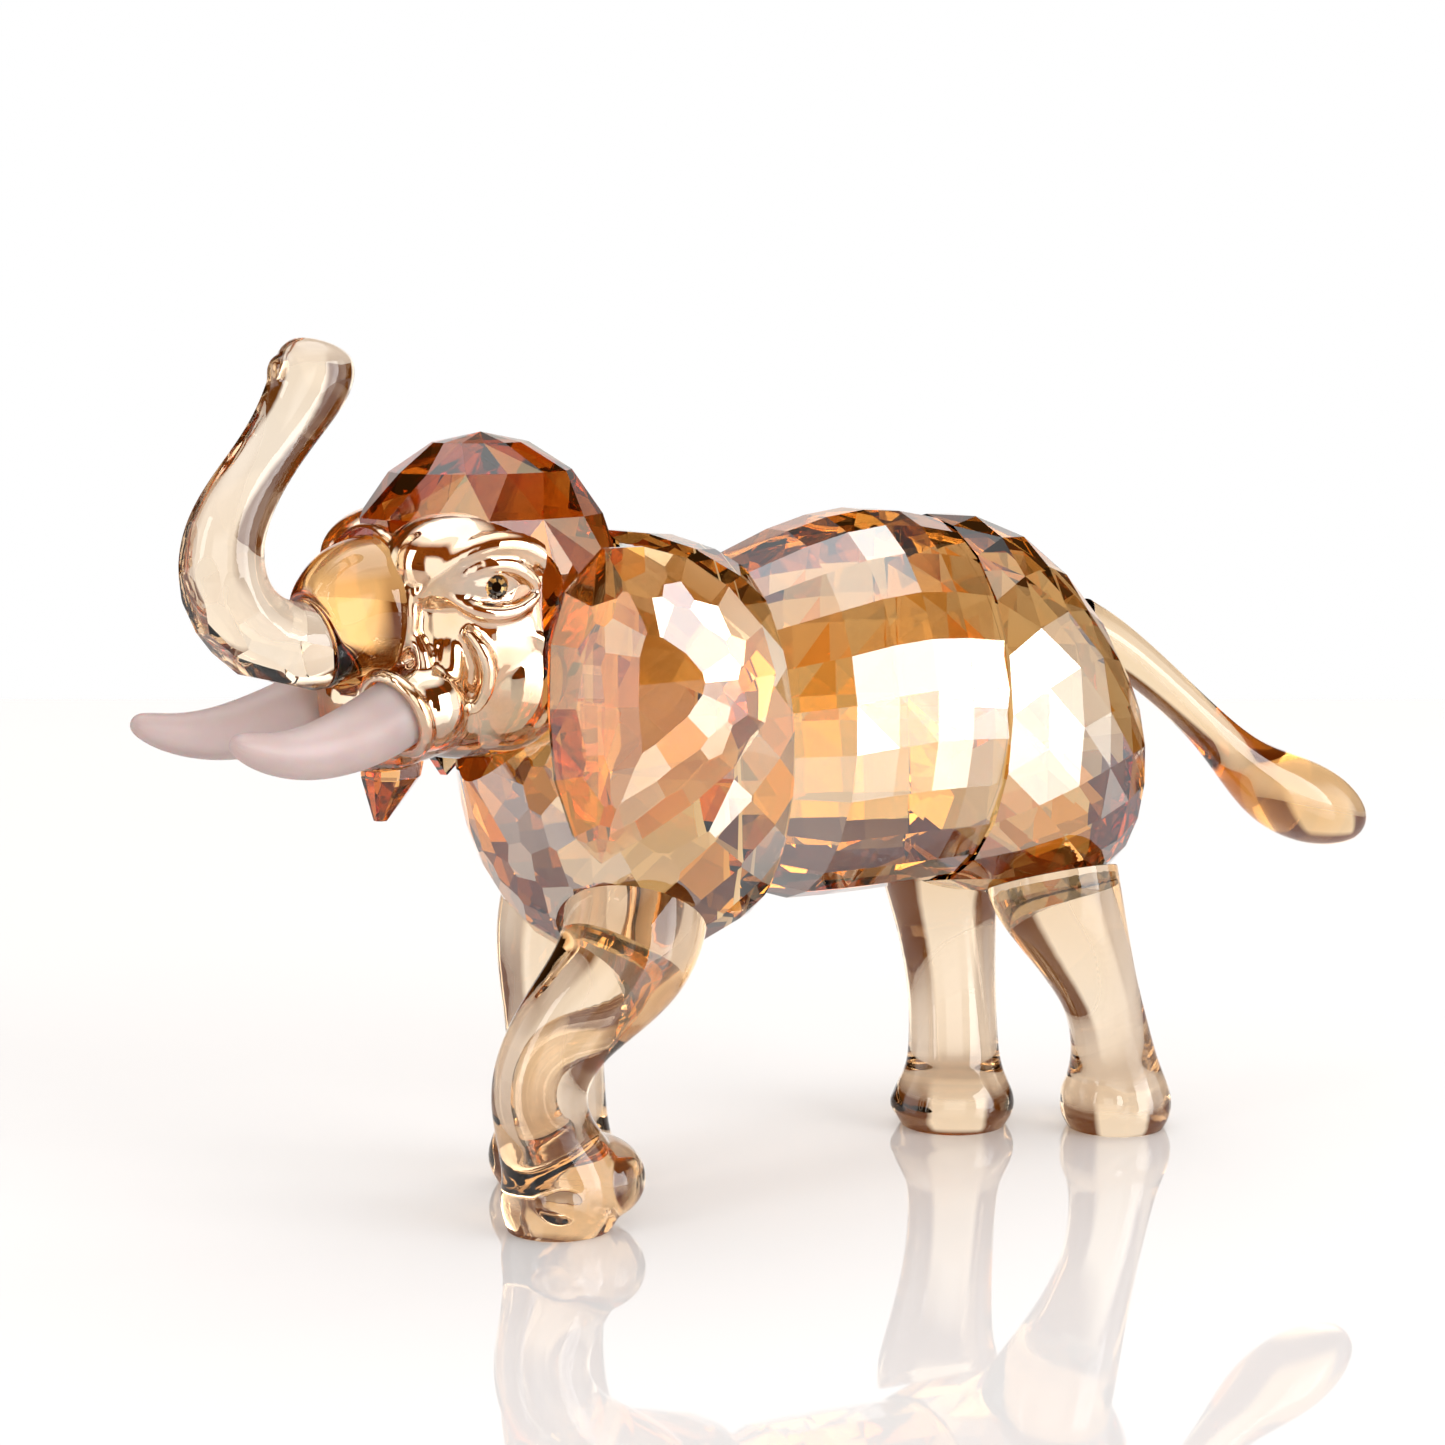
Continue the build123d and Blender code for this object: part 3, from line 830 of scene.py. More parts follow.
class Finish(Enum):
    """The finishes of the figure."""

    AMBER = Crystal("amber_crystal", "amber_crystal", colour(1.0, 0.985, 0.94),
                    colour(0.96, 0.88, 0.74), colour(0.83, 0.58, 0.1), 40.0,
                    film_thickness=60.0, film_ior=1.85, bonded=BODY_JOINTS,
                    facet_lustre=0.42, painted_glow_share=0.13)
    RICH = Crystal("rich_amber_crystal", "amber_crystal", colour(1.0, 0.92, 0.76),
                   colour(0.82, 0.54, 0.27), colour(0.84, 0.55, 0.0), 150.0,
                   film_thickness=60.0, film_ior=1.8, facet_lustre=0.38,
                   painted_glow_share=0.24)
    PALE = Crystal("pale_crystal", "pale_crystal", colour(1.0, 0.98, 0.95),
                   colour(0.99, 0.95, 0.89), colour(0.85, 0.6, 0.24), 46.0, ior=1.54)
    HONEY = Crystal("honey_crystal", "pale_crystal", colour(1.0, 0.97, 0.92),
                    colour(1.0, 0.93, 0.84), colour(0.84, 0.53, 0.0), 90.0, ior=1.58,
                    bonded=(TAIL_SEAT,))
    DEEP = Crystal("deep_amber_crystal", "amber_crystal", colour(1.0, 0.9, 0.66),
                   colour(1.0, 0.82, 0.5), colour(0.9, 0.5, 0.0), 150.0, ior=1.62)
    GILT = GiltCrystal()
    FROST = FrostedCrystal()
    EYE = EyeStone()
    ADHESIVE = Crystal("clear_adhesive", "clear_adhesive", colour(1.0, 1.0, 0.98),
                       colour(0.99, 0.99, 0.96), colour(0.9, 0.85, 0.7), 5.0, ior=1.08)


class Palette:
    """Makes each finish once and gives it to the pieces."""

    def __init__(self) -> None:
        """Makes every finish."""
        self.made = {finish: finish.value.make() for finish in Finish}

    def place(self, piece: bpy.types.Object, node: str, finish: Finish, story: str) -> None:
        """Gives a new piece its finish, body and slot, puts it in a CAD node's place and reports.

        Args:
            piece: the new piece.
            node: the CAD node that it stands for.
            finish: its finish.
            story: what it is, for the log.
        """
        piece.data.materials.clear()
        piece.data.materials.append(self.made[finish])
        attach(piece, BODY)
        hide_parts(node)
        LOG.info("%s: %s, %d faces", node, story, len(piece.data.polygons))

    def dress_node(self, node: str, finish: Finish) -> None:
        """Gives a CAD node its finish."""
        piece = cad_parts[node]
        if not piece.material_slots:
            piece.data.materials.append(self.made[finish])
        for slot in piece.material_slots:
            slot.material = self.made[finish]


# ---- the cut stones ----------------------------------------------------------------------
@dataclass
class CutStones:
    """The faceted stones, which keep the shape they were ground to."""

    amber: Sequence[str] = ("chest", "barrel", "rump")
    rich: Sequence[str] = ("left_ear", "right_ear")
    deep: Sequence[str] = ("lower_jaw",)

    def dress(self, palette: Palette) -> None:
        """Gives the stones their amber glass."""
        for nodes, finish in ((self.amber, Finish.AMBER), (self.rich, Finish.RICH),
                              (self.deep, Finish.DEEP)):
            for node in nodes:
                palette.dress_node(node, finish)
                LOG.info("%s: cut stone in %s", node, finish.value.name)


# ---- legs and tail -----------------------------------------------------------------------
@dataclass(frozen=True)
class LegShape:
    """One leg: its seat, the direction into the body and its sections down to the sole."""

    seat: Triple
    inward: Triple
    stations: Sequence[Station]
    pads: Sequence[Pad]
    seat_radius: float = 10.4


@dataclass
class Legs:
    """The four moulded legs.

    Pads are swellings of the foot: middle, then half of the size along, across and up.  A leg
    is drawn from root millimetres inside its seat, and keeps its full radius to below it.
    """

    film: float = 0.1
    root: float = 2.0
    below: float = 1.5
    voxel: float = 0.42
    smoothing: int = 8
    shapes: dict[str, LegShape] = field(default_factory=lambda: {
        "front_left_leg": LegShape(
            (-79.8, -12.6, 43.6), (0.42, 0.46, 0.78),
            (Station(-83.0, -15.2, 38.6, 9.8), Station(-87.6, -15.6, 34.2, 8.4),
             Station(-92.6, -15.4, 29.8, 7.3), Station(-95.9, -14.9, 24.6, 7.1),
             Station(-96.7, -14.4, 19.4, 7.0), Station(-95.2, -14.0, 14.0, 6.9),
             Station(-93.2, -13.6, 9.8, 8.2), Station(-91.8, -13.2, 6.2, 9.2),
             Station(-92.6, -13.0, 2.2, 8.7), Station(-92.8, -13.0, -0.8, 7.2)),
            ((-87.0, -12.4, 6.6, 7.6, 8.8, 6.4), (-94.6, -13.6, 5.4, 5.8, 8.8, 5.4))),
        "front_right_leg": LegShape(
            (-79.2, 12.0, 42.8), (0.06, -0.38, 0.92),
            (Station(-80.4, 13.2, 36.0, 8.5), Station(-80.6, 12.8, 28.6, 7.6),
             Station(-80.4, 11.8, 21.0, 7.2), Station(-80.8, 10.8, 13.6, 7.4),
             Station(-81.6, 10.0, 8.6, 8.2), Station(-82.2, 9.5, 5.0, 9.9),
             Station(-82.4, 9.2, 2.0, 9.6), Station(-82.4, 9.2, -0.8, 7.6)),
            ((-77.4, 9.2, 4.2, 4.8, 7.0, 3.6), (-86.6, 9.2, 5.0, 5.0, 7.8, 4.6)), 9.0),
        "rear_left_leg": LegShape(
            (-4.6, -10.4, 42.6), (-0.02, 0.32, 0.95),
            (Station(-2.4, -11.6, 36.4, 9.2), Station(1.6, -11.2, 29.4, 7.3),
             Station(5.8, -9.8, 22.4, 6.0), Station(9.0, -8.2, 15.0, 6.3),
             Station(10.4, -7.2, 9.6, 7.2), Station(11.1, -6.7, 5.6, 8.9),
             Station(11.4, -6.5, 2.2, 9.1), Station(11.4, -6.5, -0.8, 7.4)),
            ((6.8, -7.2, 5.2, 4.8, 7.0, 5.2), (15.6, -6.2, 3.6, 4.6, 7.0, 3.0))),
        "rear_right_leg": LegShape(
            (-10.8, 10.6, 43.2), (0.02, -0.36, 0.93),
            (Station(-10.0, 11.8, 36.0, 8.6), Station(-9.2, 11.4, 28.4, 7.6),
             Station(-9.1, 10.4, 20.6, 7.0), Station(-9.5, 9.4, 13.4, 7.2),
             Station(-9.9, 8.6, 9.0, 7.6), Station(-10.2, 8.2, 5.2, 9.9),
             Station(-10.4, 8.0, 2.2, 10.0), Station(-10.4, 8.0, -0.8, 8.0)),
            ((-15.4, 8.2, 3.4, 5.0, 7.6, 3.4), (-6.0, 8.0, 4.0, 4.8, 7.6, 3.6))),
    })

    def model(self, node: str, shape: LegShape) -> bpy.types.Object:
        """One leg: a drawn limb and its foot pads run together, then ground flat at both ends.

        Args:
            node: the leg's name.
            shape: its seat, sections and pads.

        Returns:
            The leg, at the origin.
        """
        inward = Vector(shape.inward).normalized()
        seat = Vector(shape.seat) - inward * self.film
        top = Station(*(seat + inward * self.root), shape.seat_radius)
        shoulder = Station(*(seat - inward * self.below), shape.seat_radius)
        limb = Limb(node, (top, shoulder, *shape.stations), -inward, (0.0, 0.0, -1.0),
                    keep_end=True)
        parts = [limb.model()]
        parts += [add_egg(BODY_LAYOUT, pad[:3], pad[3:]) for pad in shape.pads]
        leg = run_together(parts, f"{node}_glass", self.voxel, self.smoothing)
        into_body = BODY_LAYOUT.heading(shape.inward)
        grind_flat(leg, BODY_LAYOUT.spot(seat), into_body)
        grind_flat(leg, Vector(), Vector((0.0, 0.0, -1.0)))
        return leg

    def build(self, palette: Palette) -> None:
        """Models, dresses and reports each leg."""
        for node, shape in self.shapes.items():
            leg = self.model(node, shape)
            palette.place(leg, node, Finish.PALE, "moulded leg")


@dataclass
class Tail:
    """The moulded tail with its teardrop tuft."""

    seat: Triple = TAIL_SEAT.point
    outward: Triple = TAIL_SEAT.normal
    seat_radius: float = 4.4
    film: float = 0.1
    stations: Sequence[Station] = (
        Station(12.4, -0.3, 78.4, 4.0), Station(19.0, -0.8, 73.9, 3.6),
        Station(26.6, -1.4, 67.8, 3.3), Station(33.4, -2.0, 61.8, 3.5),
        Station(39.0, -2.6, 56.4, 4.6), Station(44.6, -3.0, 52.4, 6.3),
        Station(50.6, -3.4, 49.6, 6.9), Station(56.4, -3.6, 47.4, 6.2),
        Station(61.2, -3.6, 45.4, 4.2), Station(63.4, -3.6, 44.3, 2.0))

    def build(self, palette: Palette) -> None:
        """Models, dresses and reports the tail."""
        outward = Vector(self.outward).normalized()
        root = Station(*(Vector(self.seat) + outward * self.film), self.seat_radius)
        tail = Limb("tail_glass", (root, *self.stations), outward).model()
        palette.place(tail, "tail", Finish.HONEY, "moulded tail")


# ---- trunk -------------------------------------------------------------------------------
@dataclass
class Trunk:
    """The raised trunk and the cone that carries it."""

    film: float = 0.1
    seat: Triple = (-38.0, 0.0, 90.0)
    seat_radius: float = 10.0
    joint: Triple = (-47.5, 0.0, 85.3)
    joint_radius: float = 6.3
    joint_way: Triple = (-0.982, 0.0, -0.187)
    bend: Triple = (-49.6, 0.0, 97.0)
    facet_angles: Sequence[float] = (168.0, 197.0, 226.0, 255.0)
    facet_rows: Sequence[Triple] = (
        (0.0, 0.0, 16.8), (38.0, -14.5, 14.75), (74.0, 0.0, 8.95))
    facet_edge: float = 14.0
    blank: float = 240.0
    voxel: float = 0.4
    face_off: float = 0.35
    smoothing: int = 9
    cutter_radius: float = 12.0
    cutter_depth: float = 4.0
    path: Sequence[Station] = (
        Station(-52.2, 0.0, 85.3, 6.3), Station(-56.8, 0.0, 87.5, 6.3),
        Station(-60.2, 0.0, 91.2, 6.2), Station(-61.6, 0.0, 96.0, 6.0),
        Station(-60.9, 0.0, 101.2, 5.5), Station(-58.0, 0.0, 106.3, 4.7),
        Station(-54.2, 0.0, 111.0, 4.3), Station(-50.6, 0.0, 115.6, 4.6),
        Station(-47.6, 0.0, 120.0, 5.5), Station(-45.6, 0.0, 124.0, 5.7),
        Station(-44.8, 0.0, 126.4, 3.4))

    def build_root(self, palette: Palette) -> None:
        """Models the cone between the face and the trunk."""
        seat = Station(self.seat[0] - self.film, 0.0, self.seat[2], self.seat_radius)
        stations = (seat, Station(-40.4, 0.0, 89.6, 9.7), Station(-43.2, 0.0, 88.0, 8.5),
                    Station(-45.6, 0.0, 86.4, 7.1),
                    Station(*self.joint, self.joint_radius))
        limb = Limb("trunk_root_glass", stations, (-1.0, 0.0, 0.0), self.joint_way,
                    layout=HEAD_LAYOUT, hold=0.8, keep_end=True)
        root = limb.model()
        palette.place(root, "trunk_root", Finish.HONEY, "moulded cone")

    def build_trunk(self, palette: Palette) -> None:
        """Models the trunk, with a row of ground flats round its outer bend."""
        way = Vector(self.joint_way).normalized()
        start = Station(*(Vector(self.joint) + way * self.film), self.joint_radius)
        limb = Limb("trunk_glass", (start, *self.path), way, layout=HEAD_LAYOUT).model()
        finger = self.tip_finger()
        trunk = run_together((limb, finger), "trunk_glass", self.voxel, self.smoothing)
        self.cut_joint(trunk)
        self.grind_bend(trunk)
        palette.place(trunk, "trunk", Finish.PALE, "moulded trunk")

    def tip_finger(self) -> bpy.types.Object:
        """The short finger at the front of the tip."""
        stations = (Station(-48.2, 0.0, 118.4, 3.4), Station(-50.0, 0.0, 121.0, 3.3),
                    Station(-51.0, 0.0, 123.4, 2.8), Station(-51.3, 0.0, 125.0, 1.4))
        return Limb("finger", stations, (-0.5, 0.0, 0.86), layout=HEAD_LAYOUT).model()

    def cut_joint(self, trunk: bpy.types.Object) -> None:
        """Cuts the joint end flat again."""
        way = HEAD_LAYOUT.heading(self.joint_way)
        depth = self.cutter_depth * MM
        seat = HEAD_LAYOUT.spot(self.joint) + way * (self.film + self.face_off) * MM
        deselect()
        bpy.ops.mesh.primitive_cylinder_add(vertices=64, radius=self.cutter_radius * MM,
                                            depth=depth, location=seat - way * depth / 2,
                                            rotation=aim(way))
        cutter = newest("cutter")
        settle(cutter)
        combine(trunk, cutter, "DIFFERENCE")

    def grind_bend(self, trunk: bpy.types.Object) -> None:
        """Grinds five rows of flats round the outside of the bend, from one faceted blank."""
        middle = HEAD_LAYOUT.spot(self.bend)
        deselect()
        bpy.ops.mesh.primitive_cube_add(size=self.blank * MM, location=middle)
        blank = newest("blank")
        settle(blank)
        for tilt, shift, reach in self.facet_rows:
            for side in sorted({tilt, -tilt}):
                lean = math.radians(side)
                for angle in self.facet_angles:
                    turn = math.radians(angle + shift)
                    way = HEAD_LAYOUT.heading((math.cos(turn) * math.cos(lean), math.sin(lean),
                                               math.sin(turn) * math.cos(lean)))
                    grind_flat(blank, middle + way * reach * MM, way)
        outward_faces(blank)
        combine(trunk, blank, "INTERSECT")
        shade(trunk, self.facet_edge)

    def build(self, palette: Palette) -> None:
        """Builds both pieces."""
        self.build_root(palette)
        self.build_trunk(palette)


# ---- head --------------------------------------------------------------------------------
@dataclass(frozen=True)
class Swell:
    """A rounded swelling of the moulded face: middle and half sizes in millimetres."""

    x: float
    aside: float
    z: float
    half: Triple
    lean: float = 0.0


@dataclass(frozen=True)
class Fold:
    """A raised fold of the moulded face that runs through points (x, aside, z, radius)."""

    points: Sequence[Quad]


@dataclass
class Head:
    """Faceted skull with a smooth moulded face, and seats for all that it carries."""

    skull_middle: Triple = (-19.3, 0.0, 90.4)
    skull_half: Triple = (21.3, 17.3, 23.2)
    skull_columns: int = 14
    skull_rows: int = 9
    voxel: float = 0.42
    smoothing: int = 4
    neck_point: Triple = NECK.point
    neck_way: Triple = NECK.normal
    film: float = 0.1
    trunk_seat: Triple = (-38.0, 0.0, 90.0)
    trunk_pocket: float = 11.0
    jaw_seat: Triple = (-34.8, 0.0, 68.7)
    jaw_pocket: float = 5.0
    tusk_root: Triple = (-39.8, 9.8, 76.6)
    tusk_next: Triple = (-45.5, 10.6, 74.3)
    tusk_pocket: float = 5.2
    eye_place: Triple = (-27.8, 15.4, 93.2)
    eye_way: Triple = (-0.322, 0.943, 0.077)
    eye_pocket: float = 1.7
    ear_hinge: Triple = (-18.0, 16.9, 52.0)
    ear_flare: float = 20.0
    ear_front: float = -2.7
    ear_room: Triple = (70.0, 90.0, 30.0)
    trunk_rim: Quad = (-38.2, 90.0, 10.4, 1.2)
    tusk_rim: Triple = (0.8, 5.7, 1.1)
    eye_sink: float = 1.2
    long_peg: float = 30.0
    middle_peg: float = 20.0
    short_peg: float = 10.0
    middle_swells: Sequence[Swell] = (
        Swell(-23.0, 0.0, 87.0, (17.5, 16.8, 17.0)),
        Swell(-31.5, 0.0, 89.0, (8.6, 12.2, 12.6)),
        Swell(-23.0, 0.0, 78.0, (14.0, 13.0, 10.4)),
        Swell(-34.0, 0.0, 76.8, (10.6, 12.4, 9.0)),
        Swell(-37.0, 0.0, 71.0, (7.0, 8.0, 4.2)),
    )
    paired_swells: Sequence[Swell] = (
        Swell(-27.5, 8.0, 95.4, (12.5, 9.0, 8.2), 6.0),
        Swell(-21.0, 6.6, 80.5, (10.0, 10.2, 11.5)),
        Swell(-36.0, 9.6, 77.0, (6.2, 6.6, 6.4)),
        Swell(-33.2, 10.9, 82.4, (3.0, 3.4, 6.6), 8.0),
        Swell(-27.8, 12.6, 93.2, (3.3, 3.6, 2.8)),
    )
    folds: Sequence[Fold] = (
        Fold(((-37.6, 11.4, 92.0, 0.9), (-36.0, 13.2, 95.0, 1.4), (-32.8, 15.0, 98.0, 1.7),
              (-28.4, 16.4, 99.4, 1.9), (-23.8, 17.1, 98.9, 1.8), (-20.2, 17.2, 96.6, 1.6),
              (-18.4, 17.0, 93.6, 1.2), (-18.2, 16.6, 91.0, 0.8))),
        Fold(((-34.6, 13.8, 92.8, 0.7), (-32.6, 15.3, 95.3, 1.1), (-29.2, 16.6, 96.7, 1.3),
              (-25.6, 17.2, 96.2, 1.3), (-23.0, 17.1, 94.4, 1.1), (-21.2, 16.8, 92.6, 0.7))),
        Fold(((-34.6, 13.8, 92.6, 0.7), (-32.4, 15.2, 90.6, 1.0), (-29.0, 16.4, 89.5, 1.2),
              (-25.6, 16.9, 89.7, 1.1), (-23.0, 16.9, 90.9, 1.0), (-21.2, 16.8, 92.4, 0.7))),
        Fold(((-32.2, 14.6, 87.6, 0.7), (-30.4, 15.7, 85.2, 1.2), (-29.2, 15.9, 82.0, 1.4),
              (-29.4, 15.2, 78.6, 1.3), (-31.2, 13.9, 75.6, 0.8))),
        Fold(((-38.0, 9.8, 88.0, 0.7), (-37.2, 11.6, 84.6, 1.2), (-37.2, 12.2, 81.6, 1.2),
              (-37.6, 12.4, 79.6, 0.7))),
        Fold(((-24.0, 16.0, 87.0, 0.6), (-19.4, 16.9, 85.2, 1.1), (-17.0, 16.7, 80.8, 1.2),
              (-17.8, 15.8, 76.4, 1.1), (-20.6, 14.3, 72.6, 0.7))),
    )

    def build_skull(self) -> bpy.types.Object:
        """The skull: rings of points, every second one turned half a step, in a flat-sided hull."""
        deselect()
        middle = HEAD_LAYOUT.spot(self.skull_middle)
        bpy.ops.mesh.primitive_uv_sphere_add(segments=self.skull_columns,
                                             ring_count=self.skull_rows, radius=MM)
        skull = newest("skull")
        levels = sorted({round(point.co.z, 7) for point in skull.data.vertices})
        half_step = Matrix.Rotation(math.pi / self.skull_columns, 3, "Z").to_quaternion()
        for level in levels[1:-1:2]:
            pick(skull, Pick.POINTS, lambda point: abs(point.co.z - level) < TOUCHING)
            turn_selected(half_step, Vector())
            leave_edit()
        skull.scale = self.skull_half
        skull.rotation_euler = HEAD_LAYOUT.turn().to_euler()
        skull.location = middle
        settle(skull)
        select_only(skull)
        bpy.ops.object.mode_set(mode="EDIT")
        bpy.ops.mesh.select_all(action="SELECT")
        bpy.ops.mesh.convex_hull()
        leave_edit()
        outward_faces(skull)
        return skull

    def add_swell(self, swell: Swell, side: float) -> bpy.types.Object:
        """One swelling of the face."""
        return add_egg(HEAD_LAYOUT, (swell.x, swell.aside * side, swell.z), swell.half, swell.lean)

    def add_fold(self, fold: Fold, side: float) -> bpy.types.Object:
        """One raised fold as a thin tapered limb."""
        stations = [Station(x, aside * side, z, radius) for x, aside, z, radius in fold.points]
        first = (stations[1].x - stations[0].x, stations[1].y - stations[0].y,
                 stations[1].z - stations[0].z)
        return Limb("fold", stations, first, layout=HEAD_LAYOUT, sides=10, levels=2,
                    hold=0.1).model()

    def add_ring(self, place: Sequence[float], way: Sequence[float], ring: float,
                 bead: float) -> bpy.types.Object:
        """A rounded rim: its middle, its axis, the ring's radius and the bead's."""
        deselect()
        bpy.ops.mesh.primitive_torus_add(
            location=HEAD_LAYOUT.spot(place), rotation=aim(HEAD_LAYOUT.heading(way)),
            major_radius=ring * MM, minor_radius=bead * MM, major_segments=64,
            minor_segments=16)
        rim = newest("rim")
        settle(rim)
        return rim

    def tusk_way(self, side: float) -> Vector:
        """The direction in which a tusk leaves its socket."""
        root = Vector(self.tusk_root)
        after = Vector(self.tusk_next)
        return mirrored((after - root).normalized(), side)

    def build_face(self) -> bpy.types.Object:
        """The moulded face: swellings, folds and rims run together and smoothed."""
        parts = [self.add_swell(swell, 1.0) for swell in self.middle_swells]
        x, z, ring, bead = self.trunk_rim
        parts.append(self.add_ring((x, 0.0, z), (-1.0, 0.0, 0.0), ring, bead))
        out, socket, lip = self.tusk_rim
        for side in SIDES:
            parts += [self.add_swell(swell, side) for swell in self.paired_swells]
            parts += [self.add_fold(fold, side) for fold in self.folds]
            root = mirrored(self.tusk_root, side)
            way = self.tusk_way(side)
            parts.append(self.add_ring(root + way * out, way, socket, lip))
        return run_together(parts, "face", self.voxel, self.smoothing)

    def peg(self, place: Sequence[float], way: Sequence[float], radius: float,
            length: float) -> bpy.types.Object:
        """A round cutter that starts at a place and grows along a direction."""
        deselect()
        heading = HEAD_LAYOUT.heading(way)
        middle = HEAD_LAYOUT.spot(place) + heading * length * MM / 2
        bpy.ops.mesh.primitive_cylinder_add(vertices=96, radius=radius * MM,
                                            depth=length * MM, location=middle,
                                            rotation=aim(heading))
        cutter = newest("cutter")
        settle(cutter)
        return cutter

    def ear_ways(self, side: float) -> tuple[Vector, Vector]:
        """The directions back along an ear and straight out of its face."""
        flare = math.radians(self.ear_flare)
        along = Vector((math.cos(flare), math.sin(flare), 0.0))
        outward = Vector((-math.sin(flare), math.cos(flare), 0.0))
        return mirrored(along, side), mirrored(outward, side)

    def ear_blank(self, side: float) -> bpy.types.Object:
        """The room that an ear stands in."""
        along, outward = self.ear_ways(side)
        long, high, deep = self.ear_room
        hinge = mirrored(self.ear_hinge, side)
        middle = (hinge + along * (self.ear_front + long / 2) + Vector((0.0, 0.0, high / 2))
                  + outward * (deep / 2 - self.film))
        deselect()
        bpy.ops.mesh.primitive_cube_add(size=MM, location=HEAD_LAYOUT.spot(middle))
        blank = newest("cutter")
        blank.scale = (long, deep, high)
        turned = Matrix.Rotation(math.radians(self.ear_flare) * side, 3, "Z")
        blank.rotation_euler = (HEAD_LAYOUT.turn() @ turned).to_euler()
        settle(blank)
        return blank

    def cutters(self) -> bpy.types.Object:
        """Every seat and pocket of the head as one set of cutters."""
        forward = (-1.0, 0.0, 0.0)
        pegs = [self.peg(self.trunk_seat, forward, self.trunk_pocket, self.long_peg),
                self.peg(self.jaw_seat, (0.0, 0.0, -1.0), self.jaw_pocket, self.middle_peg)]
        for side in SIDES:
            way = self.tusk_way(side)
            root = mirrored(self.tusk_root, side)
            pegs.append(self.peg(root - way * self.film, way, self.tusk_pocket,
                                 self.middle_peg))
            look = mirrored(self.eye_way, side)
            eye = mirrored(self.eye_place, side)
            pegs.append(self.peg(eye - look * self.eye_sink, look, self.eye_pocket,
                                 self.short_peg))
            pegs.append(self.ear_blank(side))
        return join(pegs, "cutters")

    def mark_moulded(self, head: bpy.types.Object) -> None:
        """Notes which faces are moulded, and shades the ground ones flat."""
        mesh = head.data
        moulded = mesh.attributes.new("moulded", "FLOAT", "FACE")
        limit = 4.0 * (self.voxel * MM) ** 2
        small = [polygon.area < limit for polygon in mesh.polygons]
        moulded.data.foreach_set("value", [float(flag) for flag in small])
        mesh.polygons.foreach_set("use_smooth", small)

    def build(self, palette: Palette) -> None:
        """Models, dresses and reports the head."""
        head = self.build_skull()
        combine(head, self.build_face(), "UNION")
        combine(head, self.cutters(), "DIFFERENCE")
        way = BODY_LAYOUT.heading(self.neck_way)
        neck = BODY_LAYOUT.spot(self.neck_point) + way * self.film * MM / 2
        grind_flat(head, neck, -way)
        outward_faces(head)
        self.mark_moulded(head)
        head.name = "head_glass"
        head.data.name = head.name
        palette.place(head, "head", Finish.GILT, "skull and moulded face")


@dataclass
class Eyes:
    """The two round eye stones, each with a stepped crown of (rise, share of width) rows."""

    radius: float = 1.62
    depth: float = 1.2
    crown: Sequence[Pair] = ((0.45, 0.72), (0.3, 0.6))
    sides: int = 16

    def model(self, name: str, side: float) -> bpy.types.Object:
        """One stone: a short drum drawn out into two rows of crown facets.

        Args:
            name: the stone's name.
            side: -1 for the left eye and 1 for the right.

        Returns:
            The stone, at the origin.
        """
        head = Head()
        way = mirrored(head.eye_way, side).normalized()
        place = mirrored(head.eye_place, side)
        heading = HEAD_LAYOUT.heading(way)
        base = HEAD_LAYOUT.spot(place - way * self.depth)
        deselect()
        bpy.ops.mesh.primitive_circle_add(vertices=self.sides, radius=self.radius * MM,
                                          fill_type="NGON", location=base,
                                          rotation=aim(heading))
        stone = newest(name)
        settle(stone)
        edit_all(stone)
        top = base
        for climb, share in ((self.depth, 1.0), *self.crown):
            move = heading * climb * MM
            top = top + move
            bpy.ops.mesh.extrude_region_move(TRANSFORM_OT_translate={"value": move})
            bpy.ops.transform.resize(value=(share, share, share), center_override=top)
        leave_edit()
        outward_faces(stone)
        return stone

    def build(self, palette: Palette) -> None:
        """Models, dresses and reports both stones."""
        for node, side in zip(("left_eye", "right_eye"), SIDES):
            stone = self.model(f"{node}_stone", side)
            palette.place(stone, node, Finish.EYE, "eye stone")


# ---- tusks -------------------------------------------------------------------------------
@dataclass
class Tusks:
    """The two frosted tusks."""

    path: Sequence[Quad] = (
        (-39.8, 9.8, 76.6, 4.9), (-45.5, 10.6, 74.3, 4.8), (-51.0, 11.4, 73.0, 4.3),
        (-56.0, 12.1, 72.4, 3.7), (-60.8, 12.7, 72.7, 3.0), (-65.0, 13.1, 73.8, 2.3),
        (-68.2, 13.3, 75.2, 1.3))

    def build(self, palette: Palette) -> None:
        """Models, dresses and reports both tusks."""
        for name, side in zip(("left_tusk", "right_tusk"), SIDES):
            stations = [Station(x, aside * side, z, radius) for x, aside, z, radius in self.path]
            first = Vector((stations[1].x - stations[0].x, stations[1].y - stations[0].y,
                            stations[1].z - stations[0].z))
            tusk = Limb(f"{name}_frosted", stations, first, layout=HEAD_LAYOUT).model()
            palette.place(tusk, name, Finish.FROST, "frosted tusk")


# ---- adhesive films ----------------------------------------------------------------------
@dataclass(frozen=True)
class Film:
    """One disc of adhesive: the seat it starts on, the way it faces and its radius."""

    seat: Triple
    way: Triple
    radius: float
    layout: Layout = BODY_LAYOUT


